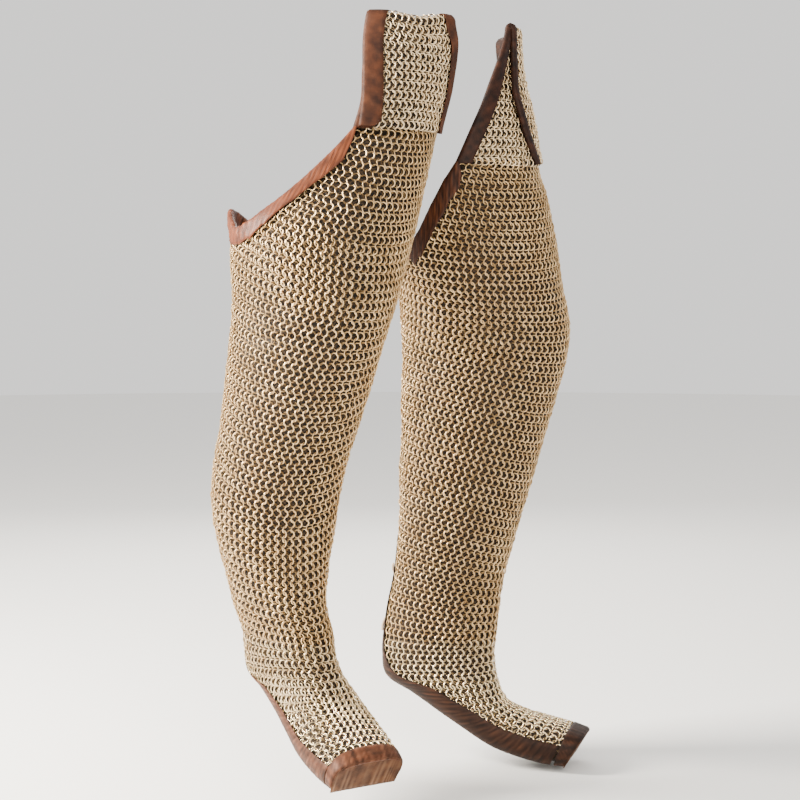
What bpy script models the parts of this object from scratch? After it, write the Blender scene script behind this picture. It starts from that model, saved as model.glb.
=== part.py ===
"""A pair of steel mail leg coverings (chausses) in the worn, filled-out form, one for each leg.

Each leg is one sheet of mail that runs from the hip tab to the toe. It is described by a table of
sections: every row gives the front and back point of the leg at one station in the leg's own
upright plane, how far the middle stands out to the side, and the half width. The sheet is open
down the back of the shin and under the sole. Leather bindings are folded over its edges, and they
are made from the points of the mail sheet moved along and off the sheet.

Frame: metres, +Z up, the wearer faces -Y. The origin is under the fold of the right hip tab,
where the wearer's belt carries it.
"""

import math

import bpy
import numpy as np

MAIL_THICKNESS = 0.003
LEATHER_THICKNESS = 0.0012
SEAM_GAP = 0.0003
BINDING_CLEARANCE = 0.0006
RIM_BINDING_WIDTH = 0.021
TAB_BINDING_WIDTH = 0.021
SLIT_BINDING_WIDTH = 0.011
SOLE_BINDING_WIDTH = 0.030
SOLE_BINDING_LIFT = 0.0008
TOE_BINDING_STATIONS = 0.024
TOE_STRIP_DROP = 0.004
KNEE_SEAM = 0.50
ANKLE_SEAM = 0.05
TOE_STATION = -0.30
SLIT_TOP = 0.215
TAB_BASE = 0.79
TAB_BASE_GAP = 0.0006
CORNER_ANGLE = 126.0
CORNER_FLARE = 3.6
FOLD_RADIUS = 0.0062
FLAP_REST_OFFSET = 0.0122
THONG_RADIUS = 0.0021

THIGH_COLUMNS = 40
THIGH_ROWS = 7
LOWER_COLUMNS = 30
TAB_MIDDLE_COLUMNS = 4

# Sections of the leg. Columns: station along the leg, front forward, front up, back forward,
# back up, middle out to the side, half width, squareness (1 is an ellipse, less is squarer),
# and half of the opening at the back or sole in degrees.
LEFT_FOOT = (
    (-0.300, 0.3250, -0.0880, 0.2960, -0.1350, 0.0020, 0.0530, 0.74, 50.0),
    (-0.260, 0.2950, -0.0780, 0.2640, -0.1340, 0.0020, 0.0540, 0.76, 52.0),
    (-0.220, 0.2620, -0.0700, 0.2240, -0.1270, 0.0020, 0.0530, 0.78, 52.0),
    (-0.180, 0.2320, -0.0620, 0.1780, -0.1120, 0.0010, 0.0490, 0.80, 50.0),
    (-0.140, 0.2070, -0.0520, 0.1330, -0.0850, 0.0000, 0.0460, 0.82, 47.0),
    (-0.100, 0.1930, -0.0390, 0.0880, -0.0570, 0.0000, 0.0450, 0.84, 43.0),
    (-0.060, 0.1860, -0.0210, 0.0450, -0.0290, 0.0000, 0.0450, 0.88, 34.0),
    (-0.020, 0.1800, 0.0040, 0.0100, -0.0080, 0.0000, 0.0460, 0.92, 18.0),
    (0.020, 0.1780, 0.0350, 0.0040, 0.0250, 0.0000, 0.0490, 0.96, 5.0),
)

RIGHT_FOOT = (
    (-0.300, 0.3180, -0.0830, 0.2880, -0.1300, 0.0000, 0.0540, 0.74, 50.0),
    (-0.260, 0.2920, -0.0700, 0.2600, -0.1290, -0.0050, 0.0570, 0.76, 52.0),
    (-0.220, 0.2640, -0.0580, 0.2230, -0.1230, -0.0100, 0.0590, 0.78, 52.0),
    (-0.180, 0.2390, -0.0470, 0.1780, -0.1080, -0.0140, 0.0590, 0.80, 50.0),
    (-0.140, 0.2180, -0.0370, 0.1330, -0.0800, -0.0170, 0.0570, 0.82, 47.0),
    (-0.100, 0.2040, -0.0250, 0.0880, -0.0510, -0.0180, 0.0540, 0.84, 43.0),
    (-0.060, 0.1950, -0.0090, 0.0440, -0.0240, -0.0150, 0.0510, 0.88, 34.0),
    (-0.020, 0.1870, 0.0120, 0.0080, -0.0060, -0.0100, 0.0490, 0.92, 18.0),
    (0.020, 0.1810, 0.0390, 0.0020, 0.0260, -0.0050, 0.0500, 0.96, 5.0),
)

LEFT_SECTIONS = LEFT_FOOT + (
    (0.060, 0.1810, 0.0630, 0.0060, 0.0600, 0.0000, 0.0530, 1.0, 3.6),
    (0.100, 0.1850, 0.1000, 0.0120, 0.1000, 0.0000, 0.0560, 1.0, 3.4),
    (0.150, 0.1920, 0.1500, 0.0230, 0.1500, 0.0000, 0.0680, 1.0, 2.6),
    (0.206, 0.2070, 0.2060, 0.0300, 0.2060, 0.0000, 0.0830, 1.0, 1.0),
    (0.262, 0.2230, 0.2620, 0.0330, 0.2620, 0.0000, 0.0910, 1.0, 0.0),
    (0.318, 0.2400, 0.3180, 0.0320, 0.3180, 0.0000, 0.0925, 1.0, 0.0),
    (0.375, 0.2560, 0.3750, 0.0360, 0.3750, 0.0000, 0.0940, 1.0, 0.0),
    (0.430, 0.2720, 0.4300, 0.0350, 0.4300, 0.0000, 0.0980, 1.0, 0.0),
    (0.487, 0.2880, 0.4870, 0.0380, 0.4870, -0.0020, 0.1010, 1.0, 0.0),
    (0.546, 0.2955, 0.5460, 0.0370, 0.5460, -0.0060, 0.1080, 1.0, 0.0),
    (0.609, 0.2850, 0.6090, 0.0350, 0.6090, -0.0150, 0.1250, 1.0, 0.0),
    (0.655, 0.2800, 0.6550, 0.0300, 0.6550, -0.0250, 0.1300, 1.0, 0.0),
    (0.730, 0.2690, 0.7300, 0.0330, 0.7300, -0.0450, 0.1190, 1.0, 0.0),
    (0.805, 0.2510, 0.8050, 0.0310, 0.8050, -0.0600, 0.1110, 1.0, 0.0),
    (0.861, 0.2390, 0.8610, 0.0230, 0.8610, -0.0700, 0.1080, 1.0, 0.0),
    (0.917, 0.2265, 0.9170, 0.0125, 0.9170, -0.0800, 0.1070, 1.0, 0.0),
    (1.010, 0.2210, 1.0100, 0.0070, 1.0100, -0.0940, 0.1070, 1.0, 0.0),
)

RIGHT_SECTIONS = RIGHT_FOOT + (
    (0.060, 0.1800, 0.0630, 0.0060, 0.0600, -0.0010, 0.0530, 1.0, 3.6),
    (0.105, 0.1830, 0.1050, 0.0110, 0.1050, 0.0150, 0.0560, 1.0, 3.4),
    (0.158, 0.1840, 0.1580, 0.0140, 0.1580, 0.0210, 0.0680, 1.0, 2.6),
    (0.211, 0.1910, 0.2110, 0.0160, 0.2110, 0.0260, 0.0820, 1.0, 1.0),
    (0.264, 0.2040, 0.2640, 0.0170, 0.2640, 0.0290, 0.0890, 1.0, 0.0),
    (0.317, 0.2210, 0.3170, 0.0160, 0.3170, 0.0250, 0.0900, 1.0, 0.0),
    (0.370, 0.2400, 0.3700, 0.0230, 0.3700, 0.0180, 0.0920, 1.0, 0.0),
    (0.422, 0.2580, 0.4220, 0.0250, 0.4220, 0.0110, 0.0960, 1.0, 0.0),
    (0.475, 0.2780, 0.4750, 0.0310, 0.4750, 0.0070, 0.0990, 1.0, 0.0),
    (0.539, 0.2930, 0.5390, 0.0340, 0.5390, -0.0030, 0.1060, 1.0, 0.0),
    (0.609, 0.2860, 0.6090, 0.0350, 0.6090, -0.0160, 0.1240, 1.0, 0.0),
    (0.655, 0.2820, 0.6550, 0.0290, 0.6550, -0.0280, 0.1300, 1.0, 0.0),
    (0.720, 0.2660, 0.7200, 0.0240, 0.7200, -0.0640, 0.1190, 1.0, 0.0),
    (0.790, 0.2530, 0.7900, 0.0290, 0.7900, -0.0965, 0.1110, 1.0, 0.0),
    (0.840, 0.2480, 0.8400, 0.0300, 0.8400, -0.1140, 0.1080, 1.0, 0.0),
    (0.900, 0.2460, 0.9000, 0.0300, 0.9000, -0.1340, 0.1070, 1.0, 0.0),
    (0.970, 0.2460, 0.9700, 0.0300, 0.9700, -0.1550, 0.1070, 1.0, 0.0),
)

# Top edge of the thigh sheet. Columns: angle from the front, outward positive, and height.
RIM_EDGE = (
    (-180.0, 0.655), (-165.0, 0.660), (-150.0, 0.668), (-138.0, 0.671), (-124.0, 0.671),
    (-116.0, 0.690), (-105.0, 0.727), (-93.0, 0.762), (-81.0, 0.790), (-70.0, 0.790),
    (30.0, 0.790), (36.0, 0.790), (47.0, 0.752), (59.0, 0.715), (71.0, 0.682),
    (83.0, 0.660), (94.0, 0.650), (101.0, 0.648), (108.0, 0.650), (117.0, 0.662),
    (126.0, 0.676), (135.0, 0.672), (144.0, 0.664), (153.0, 0.658), (165.0, 0.655),
    (180.0, 0.655),
)

# Side edges of the hip tab. Columns: share of the way (0 base, 1 fold, 2 lower end of the flap),
# inner edge angle and outer edge angle.
LEFT_TAB_EDGES = (
    (0.00, -81.0, 36.0), (0.25, -63.0, 38.0), (0.50, -43.0, 43.0), (0.75, -22.0, 47.0),
    (1.00, -5.0, 48.0), (1.30, -10.0, 47.0), (1.50, -19.0, 44.0), (1.70, -19.0, 41.0),
    (2.00, -7.0, 37.0),
)
RIGHT_TAB_EDGES = (
    (0.00, -81.0, 36.0), (0.25, -65.0, 36.0), (0.50, -46.0, 41.0), (0.75, -30.0, 45.0),
    (1.00, -16.0, 47.0), (1.25, -29.0, 45.0), (1.50, -36.0, 40.0), (1.75, -41.0, 35.0),
    (2.00, -45.0, 32.0),
)

MAIL_COLOUR = (0.46, 0.38, 0.27, 1.0)
FOOT_MAIL_COLOUR = (0.56, 0.47, 0.36, 1.0)
TAB_MAIL_COLOUR = (0.52, 0.43, 0.31, 1.0)
RIM_LEATHER_COLOUR = (0.21, 0.085, 0.045, 1.0)
TAB_LEATHER_COLOUR = (0.13, 0.055, 0.028, 1.0)
EDGE_LEATHER_COLOUR = (0.10, 0.042, 0.022, 1.0)
TOE_LEATHER_COLOUR = (0.12, 0.055, 0.03, 1.0)
THONG_COLOUR = (0.62, 0.48, 0.34, 1.0)

SIDE_RIGHT = {
    "name": "right",
    "heel": (-0.150, 0.164, -0.395),
    "out": -1.0,
    "turn": math.radians(20.0),
    "fold": 0.947,
    "sections": RIGHT_SECTIONS,
    "tab": RIGHT_TAB_EDGES,
}
SIDE_LEFT = {
    "name": "left",
    "heel": (0.100, 0.1024, -0.437),
    "out": 1.0,
    "turn": math.radians(20.0),
    "fold": 0.990,
    "sections": LEFT_SECTIONS,
    "tab": LEFT_TAB_EDGES,
}


def smooth_table(keys, values, at):
    """Values of a table between its rows, on a smooth curve through them."""
    slopes = np.gradient(values, keys, axis=0)
    at = np.asarray(at, float)
    inside = np.clip(at, keys[0], keys[-1])
    cell = np.clip(np.searchsorted(keys, inside, side="right") - 1, 0, len(keys) - 2)
    width = keys[cell + 1] - keys[cell]
    share = ((inside - keys[cell]) / width)[..., None]
    width = width[..., None]
    curve = (
        values[cell] * (2 * share**3 - 3 * share**2 + 1)
        + values[cell + 1] * (3 * share**2 - 2 * share**3)
        + slopes[cell] * width * (share**3 - 2 * share**2 + share)
        + slopes[cell + 1] * width * (share**3 - share**2)
    )
    beyond = (at - inside)[..., None]
    return curve + beyond * np.where(beyond < 0, slopes[0], slopes[-1])


def corner_flare(angle, station):
    """Share by which the pointed corner at the back of the rim leans away from the leg."""
    near = np.exp(-(((np.asarray(angle, float) + 180) % 360 - 180 - CORNER_ANGLE) / 16.0) ** 2)
    return CORNER_FLARE * np.clip(np.asarray(station, float) - 0.645, 0, None) * near


def leg_point(side, angle, station):
    """Middle of the mail sheet at an angle in degrees from the front and at a station."""
    table = np.array(side["sections"])
    row = smooth_table(table[:, 0], table[:, 1:8], station)
    front = row[..., 0:2]
    back = row[..., 2:4]
    turn = np.radians(angle)
    square = row[..., 6]
    across = np.sign(np.sin(turn)) * np.abs(np.sin(turn)) ** square * row[..., 5]
    along = np.sign(np.cos(turn)) * np.abs(np.cos(turn)) ** square
    flare = corner_flare(angle, station)
    across = across * (1 + flare)
    along = along * (1 + flare)
    flat = (front + back) / 2 + (front - back) / 2 * along[..., None]
    sideways = row[..., 4] + across
    sine, cosine = math.sin(side["turn"]), math.cos(side["turn"])
    x = side["heel"][0] + side["out"] * (sine * flat[..., 0] + cosine * sideways)
    y = side["heel"][1] - cosine * flat[..., 0] + sine * sideways
    z = side["heel"][2] + flat[..., 1]
    return np.stack(np.broadcast_arrays(x, y, z), -1)


def opening(side, station):
    """Half of the opening at the back or sole, in degrees, never less than half a seam gap."""
    table = np.array(side["sections"])
    least = math.degrees(SEAM_GAP / 2 / 0.085)
    degrees = smooth_table(table[:, 0], table[:, 8:9], station)[..., 0]
    closed = np.asarray(station) > SLIT_TOP
    return np.where(closed, least, np.maximum(degrees, 1.8))


def unit(vectors):
    return vectors / np.linalg.norm(vectors, axis=-1, keepdims=True)


def tab_sheet(side, share, across):
    """Middle of the tab's mail: share 0 to 1 rises to the fold, 1 to 2 hangs down outside."""
    share, across = np.broadcast_arrays(np.asarray(share, float), np.asarray(across, float))
    rise = side["fold"] - TAB_BASE
    arch = math.pi * FOLD_RADIUS
    length = 2 * rise + arch
    way = share / 2 * length
    over = np.clip((way - rise) / arch, 0, 1) * math.pi
    down = np.clip(way - rise - arch, 0, None)
    height = TAB_BASE + np.minimum(way, rise) + FOLD_RADIUS * np.sin(over) - down
    settle = (2 * FOLD_RADIUS - FLAP_REST_OFFSET) * np.clip(down / rise, 0, 1.2)
    lift = FOLD_RADIUS * (1 - np.cos(over)) - settle
    edges = np.array(side["tab"])
    pair = smooth_table(edges[:, 0], edges[:, 1:3], share)
    angle = pair[..., 0] + (pair[..., 1] - pair[..., 0]) * across
    return leg_point(side, angle, height) + leg_normal(side, angle, height) * lift[..., None]


def grid_normal(sheet, u, v, step_u, step_v):
    """Unit normal of a sheet at its two coordinates."""
    along_u = (sheet(u + step_u, v) - sheet(u - step_u, v)) / (2 * step_u)
    along_v = (sheet(u, v + step_v) - sheet(u, v - step_v)) / (2 * step_v)
    return unit(np.cross(along_u, along_v))


def leg_normal(side, angle, station):
    """Unit normal of the leg's sheet, pointing away from the wearer."""
    sheet = lambda u, v: leg_point(side, u, v)
    normal = grid_normal(sheet, np.asarray(angle, float), np.asarray(station, float), 0.5, 0.002)
    return normal * side["out"]


def tab_normal(side, share, across):
    """Unit normal of the tab's sheet, away from the wearer on its rising layer."""
    sheet = lambda u, v: tab_sheet(side, u, v)
    normal = grid_normal(sheet, np.asarray(share, float), np.asarray(across, float), 0.004, 0.01)
    return -normal * side["out"]


def make_material(name, colour, roughness, metallic):
    material = bpy.data.materials.new(name)
    material.use_nodes = True
    shader = material.node_tree.nodes["Principled BSDF"]
    shader.inputs["Base Color"].default_value = colour
    shader.inputs["Roughness"].default_value = roughness
    shader.inputs["Metallic"].default_value = metallic
    material.diffuse_color = colour
    return material


def signed_volume(mesh):
    total = 0.0
    mesh.calc_loop_triangles()
    for triangle in mesh.loop_triangles:
        a, b, c = (mesh.vertices[index].co for index in triangle.vertices)
        total += a.dot(b.cross(c))
    return total


def add_object(name, points, faces, material):
    """One object from points in the leg frame, with its own centre as its location."""
    points = np.asarray(points, float) - ORIGIN
    centre = points.mean(axis=0).round(4)
    mesh = bpy.data.meshes.new(name)
    mesh.from_pydata((points - centre).tolist(), [], faces)
    mesh.validate()
    if signed_volume(mesh) < 0:
        mesh.flip_normals()
    mesh.shade_smooth()
    mesh.set_sharp_from_angle(angle=math.radians(38.0))
    mesh.materials.append(material)
    made = bpy.data.objects.new(name, mesh)
    made.location = centre
    bpy.context.scene.collection.objects.link(made)
    return made


def thick_sheet(name, outer, inner, material, ring=False, turned=None):
    """A wall between two matching grids of points. With ring the last row meets the first.

    Turned says for each column of faces whether its diagonals run the other way, so that layers
    that lie on each other bend along the same lines.
    """
    rows, columns = outer.shape[:2]
    points = np.concatenate([outer.reshape(-1, 3), inner.reshape(-1, 3)])
    back = rows * columns
    turned = turned or [False] * (columns - 1)
    at = lambda row, column: (row % rows) * columns + column
    faces = []
    for row in range(rows if ring else rows - 1):
        for column in range(columns - 1):
            quad = [at(row, column), at(row + 1, column), at(row + 1, column + 1), at(row, column + 1)]
            first = (1, 2, 3, 0) if turned[column] else (0, 1, 2, 3)
            one, two, three, four = (quad[index] for index in first)
            for corners in ([one, two, three], [one, three, four]):
                faces.append(corners)
                faces.append([back + corner for corner in reversed(corners)])
        for column, last in ((0, True), (columns - 1, False)):
            quad = [at(row, column), at(row + 1, column), back + at(row + 1, column), back + at(row, column)]
            faces.append(quad[::-1] if last else quad)
    if not ring:
        for row, last in ((0, False), (rows - 1, True)):
            for column in range(columns - 1):
                quad = [at(row, column), at(row, column + 1), back + at(row, column + 1), back + at(row, column)]
                faces.append(quad[::-1] if last else quad)
    return add_object(name, points, faces, material)


def wall_from(sheet, normal, u, v, thickness):
    """Outer and inner grids of a wall about the middle of a sheet."""
    middle = sheet(u, v)
    away = normal(u, v) * thickness / 2
    return middle + away, middle - away


def inward_rate(sheet, edge_u, edge_v, toward):
    """Width gained square to an edge by one step inward in the sheet's coordinates."""
    points = sheet(edge_u, edge_v)
    small = 0.2
    inward = (sheet(edge_u + small * toward[0], edge_v + small * toward[1]) - points) / small
    run = np.gradient(points, axis=0)
    return np.linalg.norm(np.cross(run, inward), axis=-1) / np.linalg.norm(run, axis=-1)


def edge_binding(name, sheet, normal, edge_u, edge_v, toward, outside, inside, material, lift=0.0):
    """Leather folded over an edge of a sheet.

    The edge is a line of points in the sheet's own two coordinates, and toward is one step inward
    in them. Outside and inside list how many steps in the fold reaches, from the edge inward.
    Lift is how much further off the sheet the outside's free edge stands.
    """
    edge_u, edge_v = np.broadcast_arrays(np.asarray(edge_u, float), np.asarray(edge_v, float))
    rate = inward_rate(sheet, edge_u, edge_v, toward)
    near = MAIL_THICKNESS / 2 + BINDING_CLEARANCE
    walls = []
    for extra in (LEATHER_THICKNESS, 0.0):
        top = -(BINDING_CLEARANCE + extra) / rate
        line = [(depth, 1) for depth in [*reversed(outside), top]]
        line += [(depth, -1) for depth in [top, *inside]]
        rows = []
        for place, (depth, sign) in enumerate(line):
            u, v = edge_u + depth * toward[0], edge_v + depth * toward[1]
            away = near + extra + (lift if place == 0 else 0.0)
            rows.append(sheet(u, v) + normal(u, v) * away * sign)
        walls.append(np.stack(rows, 1))
    rising = toward[1] > 0 or np.all(np.asarray(toward[0]) > 0)
    turned = [rising] * len(outside) + [False] + [not rising] * len(inside)
    return thick_sheet(name, walls[0], walls[1], material, turned=turned)


def round_cord(name, path, radius, material, sides=6):
    """A round cord with closed ends along a line of points."""
    run = unit(np.gradient(path, axis=0))
    aside = unit(np.cross(run, np.array([0.13, 0.07, 1.0])))
    other = np.cross(run, aside)
    turns = np.arange(sides) * 2 * math.pi / sides
    rings = (
        path[:, None]
        + radius * np.cos(turns)[None, :, None] * aside[:, None]
        + radius * np.sin(turns)[None, :, None] * other[:, None]
    )
    points = rings.reshape(-1, 3)
    faces = []
    for ring in range(len(path) - 1):
        for turn in range(sides):
            after = (turn + 1) % sides
            low, high = ring * sides, (ring + 1) * sides
            faces.append([low + turn, low + after, high + after, high + turn])
    faces.append(list(range(sides))[::-1])
    faces.append([(len(path) - 1) * sides + turn for turn in range(sides)])
    return add_object(name, points, faces, material)


def rim_height(angle):
    table = np.array(RIM_EDGE)
    return np.interp(angle, table[:, 0], table[:, 1])


def rim_line(side):
    """Angles and heights of the thigh's top edge, and one binding width down along the columns."""
    sheet = leg_sheet(side)[0]
    angles = np.linspace(-180, 180, THIGH_COLUMNS + 1)[:-1]
    heights = rim_height(angles)
    line = np.concatenate([angles[-1:] - 360, angles, angles[:1] + 360])
    rate = inward_rate(sheet, line, rim_height((line + 180) % 360 - 180), (0.0, -1.0))[1:-1]
    depth = np.clip(RIM_BINDING_WIDTH / rate, RIM_BINDING_WIDTH, 2.2 * RIM_BINDING_WIDTH)
    return angles, heights, depth


def lower_stations():
    """Stations of the shin and of the foot, closer together where the ankle bends."""
    shin = np.concatenate([[ANKLE_SEAM + SEAM_GAP / 2], np.linspace(0.08, SLIT_TOP, 5)[:-1]])
    shin = np.concatenate([shin, [SLIT_TOP - 0.0002, SLIT_TOP + 0.0002]])
    shin = np.concatenate([shin, np.linspace(0.25, KNEE_SEAM - SEAM_GAP / 2, 7)])
    foot = np.linspace(TOE_STATION + TOE_BINDING_STATIONS, ANKLE_SEAM - SEAM_GAP / 2, 13)
    foot = np.concatenate([[TOE_STATION], foot])
    return foot, shin


def leg_sheet(side):
    sheet = lambda u, v: leg_point(side, u, v)
    normal = lambda u, v: leg_normal(side, u, v)
    return sheet, normal


def build_thigh(side, material):
    """The closed upper tube, its top cut along the rim and the tab's base."""
    sheet, normal = leg_sheet(side)
    angles, heights, depth = rim_line(side)
    share = np.linspace(0, 1, THIGH_ROWS + 1)
    low = KNEE_SEAM + SEAM_GAP / 2
    stations = low + (heights[:, None] - depth[:, None] - low) * share[None]
    top = heights[:, None] - depth[:, None] * np.array([[0.5, 0.0]])
    stations = np.concatenate([stations, top], 1)
    outer, inner = wall_from(sheet, normal, angles[:, None] + 0 * stations, stations, MAIL_THICKNESS)
    thick_sheet("thigh_mail_" + side["name"], outer, inner, material, ring=True)


def build_lower(side, name, stations, material):
    """Part of the sheet that is open down the back and under the sole."""
    sheet, normal = leg_sheet(side)
    reach = 180 - opening(side, stations)
    share = np.linspace(-1, 1, LOWER_COLUMNS + 1)
    angles = reach[:, None] * share[None]
    stations = stations[:, None] + 0 * angles
    outer, inner = wall_from(sheet, normal, angles, stations, MAIL_THICKNESS)
    thick_sheet(name + "_" + side["name"], outer, inner, material)


def tab_grid(side):
    """Steps along the tab and across it, with a column under each binding's edge."""
    sheet = lambda u, v: tab_sheet(side, u, v)
    rise = side["fold"] - TAB_BASE
    length = 2 * rise + math.pi * FOLD_RADIUS
    bend = 2 * rise / length
    shares = np.concatenate(
        [
            [2 * TAB_BASE_GAP / length, 2 * TAB_BASE_GAP / length + 0.024],
            np.linspace(2 * TAB_BASE_GAP / length, bend, 6)[1:-1],
            np.linspace(bend, 2 - bend, 5)[:-1],
            np.linspace(2 - bend, 2, 6),
        ]
    )
    first = TAB_BINDING_WIDTH / inward_rate(sheet, shares, 0 * shares, (0.0, 1.0))
    last = TAB_BINDING_WIDTH / inward_rate(sheet, shares, 0 * shares + 1, (0.0, -1.0))
    middle = np.linspace(0, 1, TAB_MIDDLE_COLUMNS + 1)
    inside = first[:, None] + (1 - first - last)[:, None] * middle
    edges = [0 * shares, first / 2, *inside.T, 1 - last / 2, 0 * shares + 1]
    return shares, np.stack(edges, 1), first, last


def build_tab(side, material):
    """The strip of mail that rises to the belt, folds over it and hangs down outside."""
    sheet = lambda u, v: tab_sheet(side, u, v)
    normal = lambda u, v: tab_normal(side, u, v)
    shares, across = tab_grid(side)[:2]
    outer, inner = wall_from(sheet, normal, shares[:, None] + 0 * across, across, MAIL_THICKNESS)
    thick_sheet("hip_tab_mail_" + side["name"], outer, inner, material)


def build_tab_bindings(side, material):
    """Leather over both side edges of the tab, all the way over the fold."""
    sheet = lambda u, v: tab_sheet(side, u, v)
    normal = lambda u, v: tab_normal(side, u, v)
    shares, _, first, last = tab_grid(side)
    shares, first, last = shares[1:], first[1:], last[1:]
    for name, across, toward, depth in (("inner", 0.0, 1.0, first), ("outer", 1.0, -1.0, last)):
        edge_binding(
            "hip_tab_" + name + "_binding_" + side["name"], sheet, normal, shares, across,
            (0.0, toward), [depth / 2, depth], [depth / 2, depth], material,
        )


def build_rim_binding(side, material):
    """Leather over the top edge, from one side of the tab round the back to the other."""
    sheet, normal = leg_sheet(side)
    angles, heights, depth = rim_line(side)
    used = np.concatenate([np.flatnonzero(angles > 35.5), np.flatnonzero(angles < -80.5)])
    angles = np.where(angles < 0, angles + 360, angles)[used]
    angles[0] += 1.2
    angles[-1] -= 1.2
    edge_binding(
        "rim_binding_" + side["name"], sheet, normal, angles, heights[used], (0.0, -1.0),
        [depth[used] / 2, depth[used]], [depth[used] / 2, depth[used]], material,
    )


def build_edge_bindings(side, material):
    """Leather down both sides of the back slit, round the heel and along the sole."""
    sheet, normal = leg_sheet(side)
    foot, shin = lower_stations()
    stations = np.concatenate([foot[1:], shin])
    stations = stations[stations < SLIT_TOP]
    stations[0] += 0.0014
    stations[-1] -= 0.0012
    reach = 180 - opening(side, stations)
    width = np.interp(stations, [-0.06, 0.03, 0.09], [SOLE_BINDING_WIDTH, 0.018, SLIT_BINDING_WIDTH])
    for name, sign in (("outer", 1.0), ("inner", -1.0)):
        toward = (-sign * 2 * reach / LOWER_COLUMNS, 0.0)
        full = np.minimum(width / inward_rate(sheet, sign * reach, stations, toward), 3.98)
        outside = [np.minimum(column, full - 0.06 * (4 - column)) for column in (1, 2, 3)]
        outside.append(full)
        edge_binding(
            "sole_" + name + "_binding_" + side["name"], sheet, normal, sign * reach, stations,
            toward, outside, [np.minimum(1, 0.8 * full)], material, lift=SOLE_BINDING_LIFT,
        )


def build_toe_binding(side, material):
    """Leather over the front edge of the foot's mail."""
    sheet, normal = leg_sheet(side)
    reach = float(180 - opening(side, TOE_STATION))
    angles = np.linspace(-reach, reach, LOWER_COLUMNS + 1)
    depth = np.full_like(angles, TOE_BINDING_STATIONS)
    edge_binding(
        "toe_binding_" + side["name"], sheet, normal, angles, TOE_STATION, (0.0, 1.0),
        [depth], [depth], material,
    )


def build_toe_strip(side, material):
    """The leather strip that closes the front of the toe, from its arch down to the sole line."""
    sheet = leg_sheet(side)[0]
    reach = float(180 - opening(side, TOE_STATION))
    angles = np.linspace(-reach, reach, LOWER_COLUMNS // 2 + 1)
    arch = sheet(angles, TOE_STATION)
    ahead = unit(arch.mean(0) - sheet(angles, TOE_STATION + 0.02).mean(0))
    down = unit((arch[0] + arch[-1]) / 2 - arch[len(arch) // 2])
    low = arch[0] + (arch[-1] - arch[0]) * (
        ((arch - arch[0]) @ unit(arch[-1] - arch[0])) / np.linalg.norm(arch[-1] - arch[0])
    )[:, None]
    centre = low.mean(0)
    high = arch + unit(arch - centre) * (MAIL_THICKNESS / 2 + BINDING_CLEARANCE)
    low = low + down * TOE_STRIP_DROP
    start = BINDING_CLEARANCE + LEATHER_THICKNESS + SEAM_GAP
    rows = np.stack([high, high * 0.5 + low * 0.5, low], 1)
    return thick_sheet(
        "toe_strip_" + side["name"], rows + ahead * (start + 0.0012 + LEATHER_THICKNESS),
        rows + ahead * (start + 0.0012), material,
    )


def build_thongs(side, material):
    """Two short thongs that lace the back slit on a slant."""
    lift = MAIL_THICKNESS / 2 + BINDING_CLEARANCE + LEATHER_THICKNESS + SEAM_GAP + THONG_RADIUS
    for name, height, slant, rise in (("upper", 0.155, 0.014, 0.0007), ("lower", 0.072, -0.011, 0.0001)):
        share = np.linspace(-1, 1, 9)
        angles = 180 + share * 15.0
        stations = height + share * slant
        path = leg_point(side, angles, stations)
        path = path + leg_normal(side, angles, stations) * (lift + rise)
        round_cord("lace_" + name + "_" + side["name"], path, THONG_RADIUS, material)


def fold_point(side):
    """Point under the fold of the tab, on the line that the belt's top edge carries."""
    middle = tab_sheet(side, 1.0, 0.5)
    return middle - np.array([0, 0, MAIL_THICKNESS / 2])


def build_leg(side):
    name = side["name"]
    mail = make_material("mail_" + name, MAIL_COLOUR, 0.34, 1.0)
    foot_mail = make_material("foot_mail_" + name, FOOT_MAIL_COLOUR, 0.32, 1.0)
    tab_mail = make_material("tab_mail_" + name, TAB_MAIL_COLOUR, 0.34, 1.0)
    rim_leather = make_material("rim_leather_" + name, RIM_LEATHER_COLOUR, 0.55, 0.0)
    tab_leather = make_material("tab_leather_" + name, TAB_LEATHER_COLOUR, 0.6, 0.0)
    edge_leather = make_material("edge_leather_" + name, EDGE_LEATHER_COLOUR, 0.6, 0.0)
    toe_leather = make_material("toe_leather_" + name, TOE_LEATHER_COLOUR, 0.55, 0.0)
    thong = make_material("thong_" + name, THONG_COLOUR, 0.7, 0.0)
    foot, shin = lower_stations()
    build_thigh(side, mail)
    build_lower(side, "shin_mail", shin, mail)
    build_lower(side, "foot_mail", foot, foot_mail)
    build_tab(side, tab_mail)
    build_tab_bindings(side, tab_leather)
    build_rim_binding(side, rim_leather)
    build_edge_bindings(side, edge_leather)
    build_toe_binding(side, edge_leather)
    build_toe_strip(side, toe_leather)
    build_thongs(side, thong)


for leftover in list(bpy.data.objects):
    bpy.data.objects.remove(leftover, do_unlink=True)

ORIGIN = np.zeros(3)
ORIGIN = fold_point(SIDE_RIGHT)
build_leg(SIDE_RIGHT)
build_leg(SIDE_LEFT)
print("second fold", (fold_point(SIDE_LEFT) - ORIGIN).round(5).tolist())
print("first fold in the table frame", ORIGIN.round(5).tolist())
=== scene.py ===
"""Looks of a pair of steel mail leg coverings, one for each leg.

Every stretch of mail is a thin shell on the form of its CAD node with thousands of linked
steel rings on it; the shell is near-black, painted shade for the shadowed depth of the weave.
Leather bands are folded over its edges, and two thongs lace each back slit.
The rings lie on a lattice that is measured along the mail itself, so they keep one size where the
leg swells or narrows.
"""

from __future__ import annotations

import logging
import math
from collections.abc import Callable
from dataclasses import dataclass, field
from enum import Enum

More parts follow.
